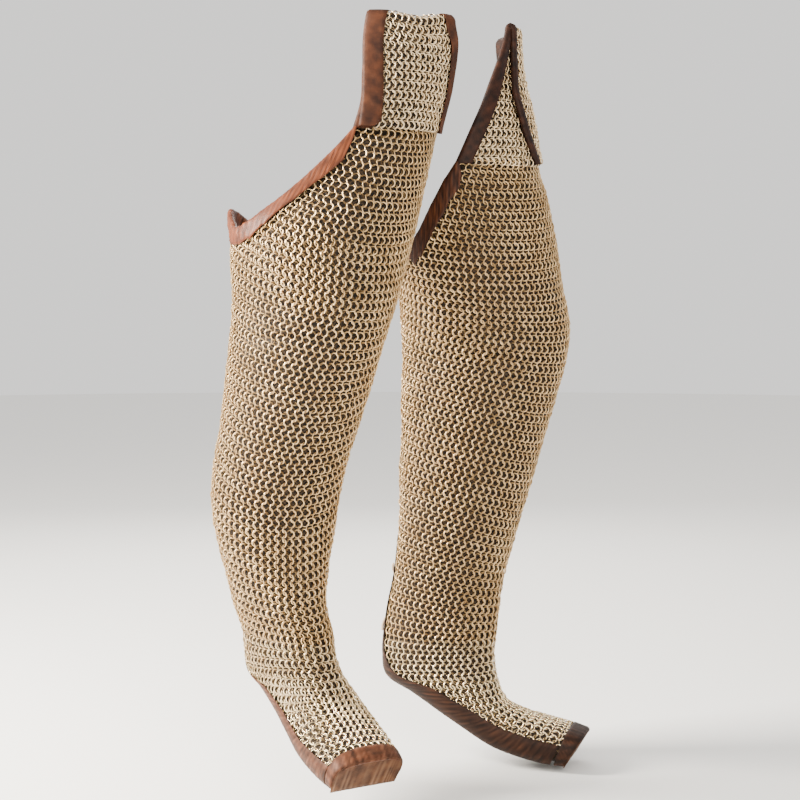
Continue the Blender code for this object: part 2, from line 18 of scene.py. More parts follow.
import bpy
import numpy as np
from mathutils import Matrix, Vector


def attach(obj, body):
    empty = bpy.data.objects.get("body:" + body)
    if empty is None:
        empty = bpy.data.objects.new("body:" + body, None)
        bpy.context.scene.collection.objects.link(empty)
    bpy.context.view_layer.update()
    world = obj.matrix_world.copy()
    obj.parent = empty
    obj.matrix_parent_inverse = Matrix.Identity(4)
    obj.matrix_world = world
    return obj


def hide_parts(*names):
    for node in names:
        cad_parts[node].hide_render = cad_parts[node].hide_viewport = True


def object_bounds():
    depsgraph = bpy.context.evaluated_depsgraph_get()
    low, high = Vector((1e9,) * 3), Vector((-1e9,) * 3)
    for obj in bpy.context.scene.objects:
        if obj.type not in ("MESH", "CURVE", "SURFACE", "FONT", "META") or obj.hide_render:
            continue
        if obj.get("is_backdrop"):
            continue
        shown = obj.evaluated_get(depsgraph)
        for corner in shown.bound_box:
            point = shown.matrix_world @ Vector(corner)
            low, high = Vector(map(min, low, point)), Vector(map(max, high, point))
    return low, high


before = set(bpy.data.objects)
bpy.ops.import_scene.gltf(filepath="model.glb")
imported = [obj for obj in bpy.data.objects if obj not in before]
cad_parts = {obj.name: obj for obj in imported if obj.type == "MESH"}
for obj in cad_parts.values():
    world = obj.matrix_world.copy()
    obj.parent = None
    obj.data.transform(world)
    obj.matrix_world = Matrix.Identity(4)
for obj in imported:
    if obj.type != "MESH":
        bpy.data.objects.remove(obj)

LOG = logging.getLogger("mail_legs")

Array = np.ndarray
Surface = Callable[[Array, Array], Array]
Colour = tuple[float, float, float, float]

# Sizes in metres, angles in degrees from the front and outward positive. A station is a height on
# the leg, and below zero the way along the foot.
MAIL_THICKNESS = 0.003
LEATHER_THICKNESS = 0.0013
KNEE_SEAM = 0.50
ANKLE_SEAM = 0.05
TOE_STATION = -0.30
SLIT_TOP = 0.215
TAB_BASE = 0.79
CORNER_ANGLE = 126.0
CORNER_FLARE = 3.6
CORNER_BASE = 0.645
CORNER_SPREAD = 16.0
FOLD_RADIUS = 0.0062
FLAP_REST_OFFSET = 0.0122
SHELL_OFFSET = 0.0024
TOE_STRIP_DROP = 0.004
THONG_RADIUS = 0.0021
THONG_SPAN = 15.0
SLIT_LEATHER_LIFT = 0.0021
ROW_RADIUS = 0.11
TAB_INNER_ANGLE = -80.0
TAB_OUTER_ANGLE = 35.0
RINGS_ROUND = 66
TAB_RINGS_ACROSS = 10
# Steps across and along a surface over which its slopes are taken.
TRUNK_STEP = (0.5, 0.002)
TAB_STEP = (0.01, 0.004)

# Sections of the foot. Columns: station along the leg, front forward, front up, back forward,
# back up, middle out to the side, half width, squareness, half of the opening in degrees.
LEFT_FOOT = (
    (-0.300, 0.3250, -0.0880, 0.2960, -0.1350, 0.0020, 0.0530, 0.74, 50.0),
    (-0.260, 0.2950, -0.0780, 0.2640, -0.1340, 0.0020, 0.0540, 0.76, 52.0),
    (-0.220, 0.2620, -0.0700, 0.2240, -0.1270, 0.0020, 0.0530, 0.78, 52.0),
    (-0.180, 0.2320, -0.0620, 0.1780, -0.1120, 0.0010, 0.0490, 0.80, 50.0),
    (-0.140, 0.2070, -0.0520, 0.1330, -0.0850, 0.0000, 0.0460, 0.82, 47.0),
    (-0.100, 0.1930, -0.0390, 0.0880, -0.0570, 0.0000, 0.0450, 0.84, 43.0),
    (-0.060, 0.1860, -0.0210, 0.0450, -0.0290, 0.0000, 0.0450, 0.88, 34.0),
    (-0.020, 0.1800, 0.0040, 0.0100, -0.0080, 0.0000, 0.0460, 0.92, 18.0),
    (0.020, 0.1780, 0.0350, 0.0040, 0.0250, 0.0000, 0.0490, 0.96, 5.0),
)

RIGHT_FOOT = (
    (-0.300, 0.3180, -0.0830, 0.2880, -0.1300, 0.0000, 0.0540, 0.74, 50.0),
    (-0.260, 0.2920, -0.0700, 0.2600, -0.1290, -0.0050, 0.0570, 0.76, 52.0),
    (-0.220, 0.2640, -0.0580, 0.2230, -0.1230, -0.0100, 0.0590, 0.78, 52.0),
    (-0.180, 0.2390, -0.0470, 0.1780, -0.1080, -0.0140, 0.0590, 0.80, 50.0),
    (-0.140, 0.2180, -0.0370, 0.1330, -0.0800, -0.0170, 0.0570, 0.82, 47.0),
    (-0.100, 0.2040, -0.0250, 0.0880, -0.0510, -0.0180, 0.0540, 0.84, 43.0),
    (-0.060, 0.1950, -0.0090, 0.0440, -0.0240, -0.0150, 0.0510, 0.88, 34.0),
    (-0.020, 0.1870, 0.0120, 0.0080, -0.0060, -0.0100, 0.0490, 0.92, 18.0),
    (0.020, 0.1810, 0.0390, 0.0020, 0.0260, -0.0050, 0.0500, 0.96, 5.0),
)

LEFT_SECTIONS = LEFT_FOOT + (
    (0.060, 0.1810, 0.0630, 0.0060, 0.0600, 0.0000, 0.0530, 1.0, 3.6),
    (0.100, 0.1850, 0.1000, 0.0120, 0.1000, 0.0000, 0.0560, 1.0, 3.4),
    (0.150, 0.1920, 0.1500, 0.0230, 0.1500, 0.0000, 0.0680, 1.0, 2.6),
    (0.206, 0.2070, 0.2060, 0.0300, 0.2060, 0.0000, 0.0830, 1.0, 1.0),
    (0.262, 0.2230, 0.2620, 0.0330, 0.2620, 0.0000, 0.0910, 1.0, 0.0),
    (0.318, 0.2400, 0.3180, 0.0320, 0.3180, 0.0000, 0.0925, 1.0, 0.0),
    (0.375, 0.2560, 0.3750, 0.0360, 0.3750, 0.0000, 0.0940, 1.0, 0.0),
    (0.430, 0.2720, 0.4300, 0.0350, 0.4300, 0.0000, 0.0980, 1.0, 0.0),
    (0.487, 0.2880, 0.4870, 0.0380, 0.4870, -0.0020, 0.1010, 1.0, 0.0),
    (0.546, 0.2955, 0.5460, 0.0370, 0.5460, -0.0060, 0.1080, 1.0, 0.0),
    (0.609, 0.2850, 0.6090, 0.0350, 0.6090, -0.0150, 0.1250, 1.0, 0.0),
    (0.655, 0.2800, 0.6550, 0.0300, 0.6550, -0.0250, 0.1300, 1.0, 0.0),
    (0.730, 0.2690, 0.7300, 0.0330, 0.7300, -0.0450, 0.1190, 1.0, 0.0),
    (0.805, 0.2510, 0.8050, 0.0310, 0.8050, -0.0600, 0.1110, 1.0, 0.0),
    (0.861, 0.2390, 0.8610, 0.0230, 0.8610, -0.0700, 0.1080, 1.0, 0.0),
    (0.917, 0.2265, 0.9170, 0.0125, 0.9170, -0.0800, 0.1070, 1.0, 0.0),
    (1.010, 0.2210, 1.0100, 0.0070, 1.0100, -0.0940, 0.1070, 1.0, 0.0),
)

RIGHT_SECTIONS = RIGHT_FOOT + (
    (0.060, 0.1800, 0.0630, 0.0060, 0.0600, -0.0010, 0.0530, 1.0, 3.6),
    (0.105, 0.1830, 0.1050, 0.0110, 0.1050, 0.0150, 0.0560, 1.0, 3.4),
    (0.158, 0.1840, 0.1580, 0.0140, 0.1580, 0.0210, 0.0680, 1.0, 2.6),
    (0.211, 0.1910, 0.2110, 0.0160, 0.2110, 0.0260, 0.0820, 1.0, 1.0),
    (0.264, 0.2040, 0.2640, 0.0170, 0.2640, 0.0290, 0.0890, 1.0, 0.0),
    (0.317, 0.2210, 0.3170, 0.0160, 0.3170, 0.0250, 0.0900, 1.0, 0.0),
    (0.370, 0.2400, 0.3700, 0.0230, 0.3700, 0.0180, 0.0920, 1.0, 0.0),
    (0.422, 0.2580, 0.4220, 0.0250, 0.4220, 0.0110, 0.0960, 1.0, 0.0),
    (0.475, 0.2780, 0.4750, 0.0310, 0.4750, 0.0070, 0.0990, 1.0, 0.0),
    (0.539, 0.2930, 0.5390, 0.0340, 0.5390, -0.0030, 0.1060, 1.0, 0.0),
    (0.609, 0.2860, 0.6090, 0.0350, 0.6090, -0.0160, 0.1240, 1.0, 0.0),
    (0.655, 0.2820, 0.6550, 0.0290, 0.6550, -0.0280, 0.1300, 1.0, 0.0),
    (0.720, 0.2660, 0.7200, 0.0240, 0.7200, -0.0640, 0.1190, 1.0, 0.0),
    (0.790, 0.2530, 0.7900, 0.0290, 0.7900, -0.0965, 0.1110, 1.0, 0.0),
    (0.840, 0.2480, 0.8400, 0.0300, 0.8400, -0.1140, 0.1080, 1.0, 0.0),
    (0.900, 0.2460, 0.9000, 0.0300, 0.9000, -0.1340, 0.1070, 1.0, 0.0),
    (0.970, 0.2460, 0.9700, 0.0300, 0.9700, -0.1550, 0.1070, 1.0, 0.0),
)

# Top edge of the thigh. Columns: angle from the front, outward positive, and height.
RIM_EDGE = (
    (-180.0, 0.655), (-165.0, 0.660), (-150.0, 0.668), (-138.0, 0.671), (-124.0, 0.671),
    (-116.0, 0.690), (-105.0, 0.727), (-93.0, 0.762), (-81.0, 0.790), (-70.0, 0.790),
    (30.0, 0.790), (36.0, 0.790), (47.0, 0.752), (59.0, 0.715), (71.0, 0.682),
    (83.0, 0.660), (94.0, 0.650), (101.0, 0.648), (108.0, 0.650), (117.0, 0.662),
    (126.0, 0.676), (135.0, 0.672), (144.0, 0.664), (153.0, 0.658), (165.0, 0.655),
    (180.0, 0.655),
)

# Side edges of the hip tab. Columns: share of the way (0 base, 1 fold, 2 lower end of the flap),
# inner edge angle and outer edge angle.
LEFT_TAB_EDGES = (
    (0.00, -81.0, 36.0), (0.25, -63.0, 38.0), (0.50, -43.0, 43.0), (0.75, -22.0, 47.0),
    (1.00, -5.0, 48.0), (1.30, -10.0, 47.0), (1.50, -19.0, 44.0), (1.70, -19.0, 41.0),
    (2.00, -7.0, 37.0),
)
RIGHT_TAB_EDGES = (
    (0.00, -81.0, 36.0), (0.25, -65.0, 36.0), (0.50, -46.0, 41.0), (0.75, -30.0, 45.0),
    (1.00, -16.0, 47.0), (1.25, -29.0, 45.0), (1.50, -36.0, 40.0), (1.75, -41.0, 35.0),
    (2.00, -45.0, 32.0),
)

# Tilt of the rows of rings. Columns: station, slope of the row, and the side on which it is lowest,
# in degrees from the front, outward positive.
LEFT_ROW_TILTS = (
    (0.0, 0.0, 0.0), (0.26, 0.28, 10.0), (0.50, 0.26, -10.0), (0.64, 0.20, -55.0), (0.82, 0.20, -45.0),
)
RIGHT_ROW_TILTS = (
    (0.0, 0.0, 20.0), (0.26, 0.34, 14.0), (0.46, 0.34, 10.0), (0.56, 0.38, -8.0), (0.68, 0.52, -12.0),
    (0.82, 0.30, -10.0),
)


class Slot(Enum):
    """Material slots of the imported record."""

    MAIL = "mail"
    FOOT_MAIL = "foot_mail"
    TAB_MAIL = "tab_mail"
    RIM_LEATHER = "rim_leather"
    TAB_LEATHER = "tab_leather"
    EDGE_LEATHER = "edge_leather"
    TOE_LEATHER = "toe_leather"
    THONG = "thong"


def unit(vectors: Array) -> Array:
    """Vectors divided by their lengths."""
    return vectors / np.maximum(np.linalg.norm(vectors, axis=-1, keepdims=True), 1e-12)


def smooth_table(keys: Array, values: Array, at: Array) -> Array:
    """Values of a table between its rows, on a cubic Hermite curve through them.

    Args:
        keys: first column of the table, rising.
        values: the other columns.
        at: where the table is read; past its ends it goes on straight.

    Returns:
        The columns at each place, as one more axis.
    """
    slopes = np.gradient(values, keys, axis=0)
    at = np.asarray(at, float)
    inside = np.clip(at, keys[0], keys[-1])
    cell = np.clip(np.searchsorted(keys, inside, side="right") - 1, 0, len(keys) - 2)
    width = keys[cell + 1] - keys[cell]
    share = ((inside - keys[cell]) / width)[..., None]
    width = width[..., None]
    curve = (
        values[cell] * (2 * share**3 - 3 * share**2 + 1)
        + values[cell + 1] * (3 * share**2 - 2 * share**3)
        + slopes[cell] * width * (share**3 - 2 * share**2 + share)
        + slopes[cell + 1] * width * (share**3 - share**2)
    )
    beyond = (at - inside)[..., None]
    return curve + beyond * np.where(beyond < 0, slopes[0], slopes[-1])


def way_along(points: Array) -> Array:
    """Length of the way from the first point of a path to each of its points."""
    return np.concatenate([[0], np.cumsum(np.linalg.norm(np.diff(points, axis=0), axis=-1))])


def surface_frame(sheet: Surface, u: Array, v: Array,
                  step: tuple[float, float]) -> tuple[Array, Array, Array]:
    """Unit directions of a sheet at its two coordinates.

    Args:
        sheet: the surface as a function of u and v.
        u: first coordinate.
        v: second coordinate.
        step: small steps in u and v for the differences.

    Returns:
        The direction of rising u, the direction square to it in the sheet, and the normal u x v.
    """
    along_u = unit(sheet(u + step[0], v) - sheet(u - step[0], v))
    along_v = sheet(u, v + step[1]) - sheet(u, v - step[1])
    normal = unit(np.cross(along_u, along_v))
    return along_u, np.cross(normal, along_u), normal


@dataclass
class LegForm:
    """The form that one leg's mail keeps: its sections, its top edge and its hip tab."""

    name: str
    heel: tuple[float, float, float]
    out: float
    fold: float
    sections: tuple
    tab_edges: tuple
    row_tilts: tuple
    fold_dip: float = 0.006
    fold_slope: float = 0.0
    pinch: float = 0.0
    turn: float = math.radians(20.0)
    shift: Array = field(default_factory=lambda: np.zeros(3))

    def point(self, angle: Array, station: Array) -> Array:
        """Middle of the mail: (front + back) / 2 + (front - back) / 2 * cos^q, sideways sin^q.

        Args:
            angle: degrees from the front, outward positive.
            station: height on the leg, and the way along the foot below 0.

        Returns:
            Points in the row frame.
        """
        table = np.array(self.sections)
        row = smooth_table(table[:, 0], table[:, 1:8], station)
        front, back, square = row[..., 0:2], row[..., 2:4], row[..., 6]
        turn = np.radians(angle)
        near = np.exp(-(((np.asarray(angle, float) + 180) % 360 - 180 - CORNER_ANGLE) / CORNER_SPREAD) ** 2)
        flare = 1 + CORNER_FLARE * np.clip(np.asarray(station, float) - CORNER_BASE, 0, None) * near
        across = flare * np.sign(np.sin(turn)) * np.abs(np.sin(turn)) ** square * row[..., 5]
        along = flare * np.sign(np.cos(turn)) * np.abs(np.cos(turn)) ** square
        flat = (front + back) / 2 + (front - back) / 2 * along[..., None]
        sideways = row[..., 4] + across
        sine, cosine = math.sin(self.turn), math.cos(self.turn)
        x = self.heel[0] + self.out * (sine * flat[..., 0] + cosine * sideways)
        y = self.heel[1] - cosine * flat[..., 0] + sine * sideways
        z = self.heel[2] + flat[..., 1]
        return np.stack(np.broadcast_arrays(x, y, z), -1) - self.shift

    def normal(self, angle: Array, station: Array) -> Array:
        """Unit normal of the leg's mail, away from the wearer."""
        angle, station = np.asarray(angle, float), np.asarray(station, float)
        return surface_frame(self.point, angle, station, TRUNK_STEP)[2] * self.out

    def row_station(self, angle: Array, level: Array) -> Array:
        """Station of a row of rings: level - tilt * radius * cos(angle - lowest side).

        Args:
            angle: degrees from the front, outward positive.
            level: the row's mean station.

        Returns:
            The station at each angle, lowest at the side that the table names.
        """
        table = np.array(self.row_tilts)
        tilt = np.interp(level, table[:, 0], table[:, 1])
        lowest = np.interp(level, table[:, 0], table[:, 2])
        return level - ROW_RADIUS * tilt * np.cos(np.radians(angle - lowest))

    def row_point(self, angle: Array, level: Array) -> Array:
        """Middle of the mail at an angle on a tilted row of rings."""
        return self.point(angle, self.row_station(angle, level))

    def row_normal(self, angle: Array, level: Array) -> Array:
        """Unit normal of the mail at an angle on a tilted row of rings."""
        return self.normal(angle, self.row_station(angle, level))

    def reach(self, station: Array) -> Array:
        """Angle at which the mail ends on both sides of the back slit or the sole, in degrees."""
        table = np.array(self.sections)
        degrees = smooth_table(table[:, 0], table[:, 8:9], station)[..., 0]
        closed = np.asarray(station) > SLIT_TOP
        return 180 - np.where(closed, 0.0, np.maximum(degrees, 1.8))

    def rim(self, angle: Array) -> Array:
        """Height of the thigh's top edge at an angle."""
        table = np.array(RIM_EDGE)
        return np.interp(angle, table[:, 0], table[:, 1])

    @property
    def tab_length(self) -> float:
        """Way over the tab: up, half round the fold and down again."""
        return 2 * (self.fold - TAB_BASE) + math.pi * FOLD_RADIUS

    def tab_turn(self, share: Array) -> Array:
        """How far the tab has turned over its fold, from 0 to pi."""
        way = np.asarray(share, float) / 2 * self.tab_length
        return np.clip((way - self.fold + TAB_BASE) / (math.pi * FOLD_RADIUS), 0, 1) * math.pi

    def tab_point(self, across: Array, share: Array) -> Array:
        """Middle of the tab's mail: share 0 to 1 rises to the fold, 1 to 2 hangs outside.

        Args:
            across: 0 at the inner edge and 1 at the outer edge.
            share: how far along the tab.

        Returns:
            Points in the row frame.
        """
        share, across = np.broadcast_arrays(np.asarray(share, float), np.asarray(across, float))
        rise = self.fold - TAB_BASE
        way = share / 2 * self.tab_length
        over = self.tab_turn(share)
        down = np.clip(way - rise - math.pi * FOLD_RADIUS, 0, None)
        height = TAB_BASE + np.minimum(way, rise) + FOLD_RADIUS * np.sin(over) - down
        settle = (2 * FOLD_RADIUS - FLAP_REST_OFFSET) * np.clip(down / rise, 0, 1.2)
        ending = np.clip((share - 1.6) / 0.4, 0, 1)
        lift = FOLD_RADIUS * (1 - np.cos(over)) - settle - 0.005 * ending**2 * (3 - 2 * ending)
        lift = lift * (1 - self.pinch * np.exp(-((across / 0.14) ** 2) - ((share - 1.1) / 0.35) ** 2))
        dip = self.fold_dip * np.exp(-(((across - 0.45) / 0.2) ** 2)) + self.fold_slope * across
        height = height - dip * np.exp(-(((share - 1) / 0.22) ** 2))
        edges = np.array(self.tab_edges)
        pair = smooth_table(edges[:, 0], edges[:, 1:3], share)
        angle = pair[..., 0] + (pair[..., 1] - pair[..., 0]) * across
        return self.point(angle, height) + self.normal(angle, height) * lift[..., None]

    def tab_normal(self, across: Array, share: Array) -> Array:
        """Unit normal of the tab, away from the wearer on its rising layer."""
        across, share = np.asarray(across, float), np.asarray(share, float)
        return surface_frame(self.tab_point, across, share, TAB_STEP)[2] * self.out


def build_forms() -> tuple[LegForm, LegForm]:
    """Both legs in the row frame, whose origin is under the right tab's fold.

    Returns:
        The right and the left leg's forms.
    """
    right = LegForm("right", (-0.150, 0.164, -0.395), -1.0, 0.947, RIGHT_SECTIONS, RIGHT_TAB_EDGES,
                    RIGHT_ROW_TILTS)
    left = LegForm("left", (0.100, 0.1024, -0.437), 1.0, 0.990, LEFT_SECTIONS, LEFT_TAB_EDGES,
                   LEFT_ROW_TILTS, fold_dip=0.0, fold_slope=0.012, pinch=0.5)
    origin = right.tab_point(0.5, 1.0) - np.array([0.0, 0.0, MAIL_THICKNESS / 2])
    right.shift, left.shift = origin, origin
    return right, left


def new_object(name: str, points: Array, quads: Array, material: bpy.types.Material) -> bpy.types.Object:
    """One smooth mesh object at the origin from arrays.

    Args:
        name: the object's name.
        points: vertices, any leading axes.
        quads: four vertex numbers a face.
        material: its only material.

    Returns:
        The linked object.
    """
    mesh = bpy.data.meshes.new(name)
    points = np.ascontiguousarray(points.reshape(-1, 3), np.float32)
    mesh.vertices.add(len(points))
    mesh.vertices.foreach_set("co", points.ravel())
    mesh.loops.add(quads.size)
    mesh.loops.foreach_set("vertex_index", np.ascontiguousarray(quads, np.int32).ravel())
    mesh.polygons.add(len(quads))
    mesh.polygons.foreach_set("loop_start", np.arange(0, quads.size, 4, dtype=np.int32))
    mesh.update(calc_edges=True)
    mesh.validate()
    mesh.shade_smooth()
    mesh.materials.append(material)
    made = bpy.data.objects.new(name, mesh)
    bpy.context.scene.collection.objects.link(made)
    return made


def add_attribute(piece: bpy.types.Object, name: str, values: Array) -> None:
    """A number at each vertex of a piece, for its material to read."""
    attribute = piece.data.attributes.new(name, "FLOAT", "POINT")
    attribute.data.foreach_set("value", np.ascontiguousarray(values, np.float32).ravel())


def add_uv(piece: bpy.types.Object, uv: Array) -> None:
    """A UV map from one pair of coordinates at each vertex."""
    layer = piece.data.uv_layers.new(name="weave")
    corners = np.empty(len(piece.data.loops), np.int32)
    piece.data.loops.foreach_get("vertex_index", corners)
    layer.data.foreach_set("uv", uv.reshape(-1, 2)[corners].astype(np.float32).ravel())


def grid_quads(rows: int, columns: int, wrap_rows: bool = False, wrap_columns: bool = False) -> Array:
    """Faces of a grid of vertices, joined round in either direction on request.

    Args:
        rows: vertices in the first direction.
        columns: vertices in the second direction.
        wrap_rows: whether the last row meets the first.
        wrap_columns: whether the last column meets the first.

    Returns:
        Vertex numbers, four a face.
    """
    row = np.arange(rows if wrap_rows else rows - 1)[:, None]
    column = np.arange(columns if wrap_columns else columns - 1)[None]
    after_row, after_column = (row + 1) % rows, (column + 1) % columns
    quads = [row * columns + column, after_row * columns + column,
             after_row * columns + after_column, row * columns + after_column]
    return np.stack(np.broadcast_arrays(*quads), -1).reshape(-1, 4)


def outward_quads(points: Array, quads: Array) -> Array:
    """The faces of a closed mesh, turned round if its volume would be negative."""
    corners = points.reshape(-1, 3)[quads]
    first = np.einsum("ij,ij->i", corners[:, 0], np.cross(corners[:, 1], corners[:, 2])).sum()
    second = np.einsum("ij,ij->i", corners[:, 0], np.cross(corners[:, 2], corners[:, 3])).sum()
    return quads if first + second > 0 else quads[:, ::-1]


class Graph:
    """A material whose nodes are made, filled and joined by short calls."""

    def __init__(self, name: str) -> None:
        """Starts a material with its Principled shader.

        Args:
            name: the material's name.
        """
        self.material = bpy.data.materials.new(name)
        self.material.use_nodes = True
        self.tree = self.material.node_tree
        self.shader = self.tree.nodes["Principled BSDF"]

    def fill(self, node: bpy.types.Node, sockets: dict[str | int, object]) -> bpy.types.Node:
        """Sets a node's inputs to values, or links them to other nodes' outputs.

        Args:
            node: the node.
            sockets: a value or an output for each input, by its name or number.

        Returns:
            The node.
        """
        for place, value in sockets.items():
            if isinstance(value, bpy.types.NodeSocket):
                self.tree.links.new(value, node.inputs[place])
            else:
                node.inputs[place].default_value = value
        return node

    def node(self, kind: str, sockets: dict[str | int, object]) -> bpy.types.Node:
        """A new node with its inputs filled.

        Args:
            kind: the node's type without the word ShaderNode.
            sockets: a value or an output for each input.

        Returns:
            The node.
        """
        return self.fill(self.tree.nodes.new("ShaderNode" + kind), sockets)

    def attribute(self, name: str) -> bpy.types.NodeSocket:
        """The output that reads a number kept at each vertex."""
        node = self.node("Attribute", {})
        node.attribute_name = name
        return node.outputs["Fac"]

    def math(self, operation: str, *values: object) -> bpy.types.NodeSocket:
        """The output of one sum on values or other outputs."""
        node = self.node("Math", dict(enumerate(values)))
        node.operation = operation
        return node.outputs[0]

    def spread(self, value: bpy.types.NodeSocket, **ends: float) -> bpy.types.NodeSocket:
        """The output of a straight map from one span to another.

        Args:
            value: what is mapped.
            ends: from_min, from_max, to_min and to_max where they aren't 0 and 1.

        Returns:
            The mapped value.
        """
        named = {end.replace("_", " ").title(): number for end, number in ends.items()}
        return self.node("MapRange", {**named, "Value": value}).outputs[0]

    def blend(self, share: bpy.types.NodeSocket, low: object, high: object) -> bpy.types.NodeSocket:
        """A colour between two others, by a share from 0 to 1."""
        node = self.tree.nodes.new("ShaderNodeMix")
        node.data_type = "RGBA"
        return self.fill(node, {0: share, 6: low, 7: high}).outputs[2]

    def bump(self, height: bpy.types.NodeSocket, strength: float, distance: float) -> None:
        """Gives the shader a bumped normal."""
        node = self.node("Bump", {"Strength": strength, "Distance": distance, "Height": height})
        self.fill(self.shader, {"Normal": node.outputs["Normal"]})


@dataclass(frozen=True)
class SteelFinish:
    """Worn steel wire, bright where it faces out and dark with old patina where it faces in."""

    bright: Colour = (0.98, 0.70, 0.375, 1.0)
    dull: Colour = (0.44, 0.27, 0.115, 1.0)
    patina: Colour = (0.055, 0.027, 0.008, 1.0)
    roughness: float = 0.33
    rubbed: float = 0.0
    ankle_height: float = -0.92
    toe_height: float = -1.05

    def material(self, name: str) -> bpy.types.Material:
        """A material that mixes the three colours by the ring's own tone and its depth.

        With rubbed above zero the wire turns brighter from the ankle down to the toe.

        Args:
            name: the material's name.

        Returns:
            The material.
        """
        graph = Graph(name)
        place = graph.node("TexCoord", {}).outputs["Object"]
        noise = graph.node("TexNoise", {"Scale": 30.0, "Detail": 3.0, "Vector": place}).outputs["Fac"]
        height = graph.node("SeparateXYZ", {0: place}).outputs["Z"]
        lower = graph.spread(height, from_min=self.ankle_height, from_max=self.toe_height, to_max=self.rubbed)
        tone = graph.math("ADD", graph.attribute("ring_tone"), lower)
        shine = graph.math("MULTIPLY_ADD", noise, 0.7, tone)
        metal = graph.blend(shine, self.dull, self.bright)
        colour = graph.blend(graph.attribute("ring_depth"), self.patina, metal)
        rough = graph.spread(shine, to_min=self.roughness + 0.16, to_max=self.roughness - 0.06)
        graph.fill(graph.shader, {"Metallic": 1.0, "Base Color": colour, "Roughness": rough})
        return graph.material


@dataclass(frozen=True)
class ShadeShellFinish:
    """Painted shade for the shadowed depth of the weave: nearly black, with the shaded far sides of rings
    faintly in it.
    """

    # Painted shade: the gap colour is the near-black between rings, the wire colour the dim far sides of
    # rings in shadow.
    shaded_gap: Colour = (0.006, 0.004, 0.002, 1.0)
    wire: Colour = (0.05, 0.030, 0.015, 1.0)

    def material(self, name: str) -> bpy.types.Material:
        """A painted-shade material with one dim ring drawn in each lattice cell of the UV map on near-black.

        Args:
            name: the material's name.

        Returns:
            The material.
        """
        graph = Graph(name)
        cell = graph.node("VectorMath", {0: graph.node("TexCoord", {}).outputs["UV"]})
        cell.operation = "FRACTION"
        middle = graph.node("VectorMath", {0: cell.outputs[0], 1: (0.5, 0.5, 0.0)})
        middle.operation = "DISTANCE"
        away = graph.math("ABSOLUTE", graph.math("SUBTRACT", middle.outputs["Value"], 0.40))
        ring = graph.node("MapRange", {"Value": away, "From Min": 0.13, "From Max": 0.05})
        ring.interpolation_type = "SMOOTHSTEP"
        colour = graph.blend(ring.outputs[0], self.shaded_gap, self.wire)
        graph.fill(graph.shader, {"Metallic": 0.6, "Roughness": 0.6, "Base Color": colour})
        graph.bump(ring.outputs[0], 0.5, 0.001)
        return graph.material


@dataclass(frozen=True)
class LeatherFinish:
    """Old leather: two browns in patches, fine grain, and on raised folds a lighter colour that is partly
    wear and partly painted highlight.
    """

    dark: Colour
    light: Colour
    # Lighter colour of raised folds: partly wear, partly painted highlight.
    wear_and_highlight: Colour
    roughness: float = 0.5
    grain: float = 900.0
    specular: float = 0.16

    def material(self, name: str) -> bpy.types.Material:
        """A leather material on object coordinates and the piece's own fold height.

        Args:
            name: the material's name.

        Returns:
            The material.
        """
        graph = Graph(name)
        place = graph.node("TexCoord", {}).outputs["Object"]
        patches = graph.node("TexNoise", {"Scale": 55.0, "Detail": 5.0, "Vector": place}).outputs["Fac"]
        browns = graph.blend(graph.spread(patches, from_min=0.35, from_max=0.65), self.dark, self.light)
        # The fold height mixes in the lighter colour: partly wear, partly painted highlight on raised folds.
        height = graph.attribute("fold_height")
        rough = graph.spread(height, to_min=self.roughness + 0.14, to_max=self.roughness - 0.12)
        graph.fill(graph.shader, {"Specular IOR Level": self.specular, "Roughness": rough,
                                  "Base Color": graph.blend(height, browns, self.wear_and_highlight)})
        pores = graph.node("TexVoronoi", {"Scale": self.grain, "Vector": place})
        graph.bump(pores.outputs["Distance"], 0.35, 0.0005)
        return graph.material


RIM_LEATHER = LeatherFinish((0.026, 0.006, 0.002, 1), (0.080, 0.019, 0.006, 1), (0.25, 0.075, 0.031, 1),
                            roughness=0.36)
# Darker copy of the rim leather for the far leg: painted shade.
SHADED_FAR_RIM_LEATHER = LeatherFinish((0.004, 0.001, 0.0004, 1), (0.018, 0.005, 0.002, 1), (0.11, 0.036, 0.015, 1),
                                roughness=0.45)
TAB_LEATHER = LeatherFinish((0.018, 0.005, 0.002, 1), (0.062, 0.018, 0.006, 1), (0.15, 0.053, 0.022, 1),
                            roughness=0.5)
EDGE_LEATHER = LeatherFinish((0.014, 0.004, 0.001, 1), (0.058, 0.017, 0.006, 1), (0.25, 0.095, 0.048, 1),
                             roughness=0.46)
# Darker copy of the edge leather for the far leg: painted shade.
SHADED_FAR_EDGE_LEATHER = LeatherFinish((0.003, 0.001, 0.0004, 1), (0.013, 0.004, 0.001, 1), (0.09, 0.032, 0.014, 1),
                                 roughness=0.46)
TOE_LEATHER = LeatherFinish((0.024, 0.008, 0.003, 1), (0.085, 0.034, 0.014, 1), (0.24, 0.125, 0.068, 1),
                            roughness=0.48)
THONG_LEATHER = LeatherFinish((0.36, 0.25, 0.16, 1), (0.60, 0.46, 0.33, 1), (0.70, 0.58, 0.44, 1),
                              roughness=0.6)


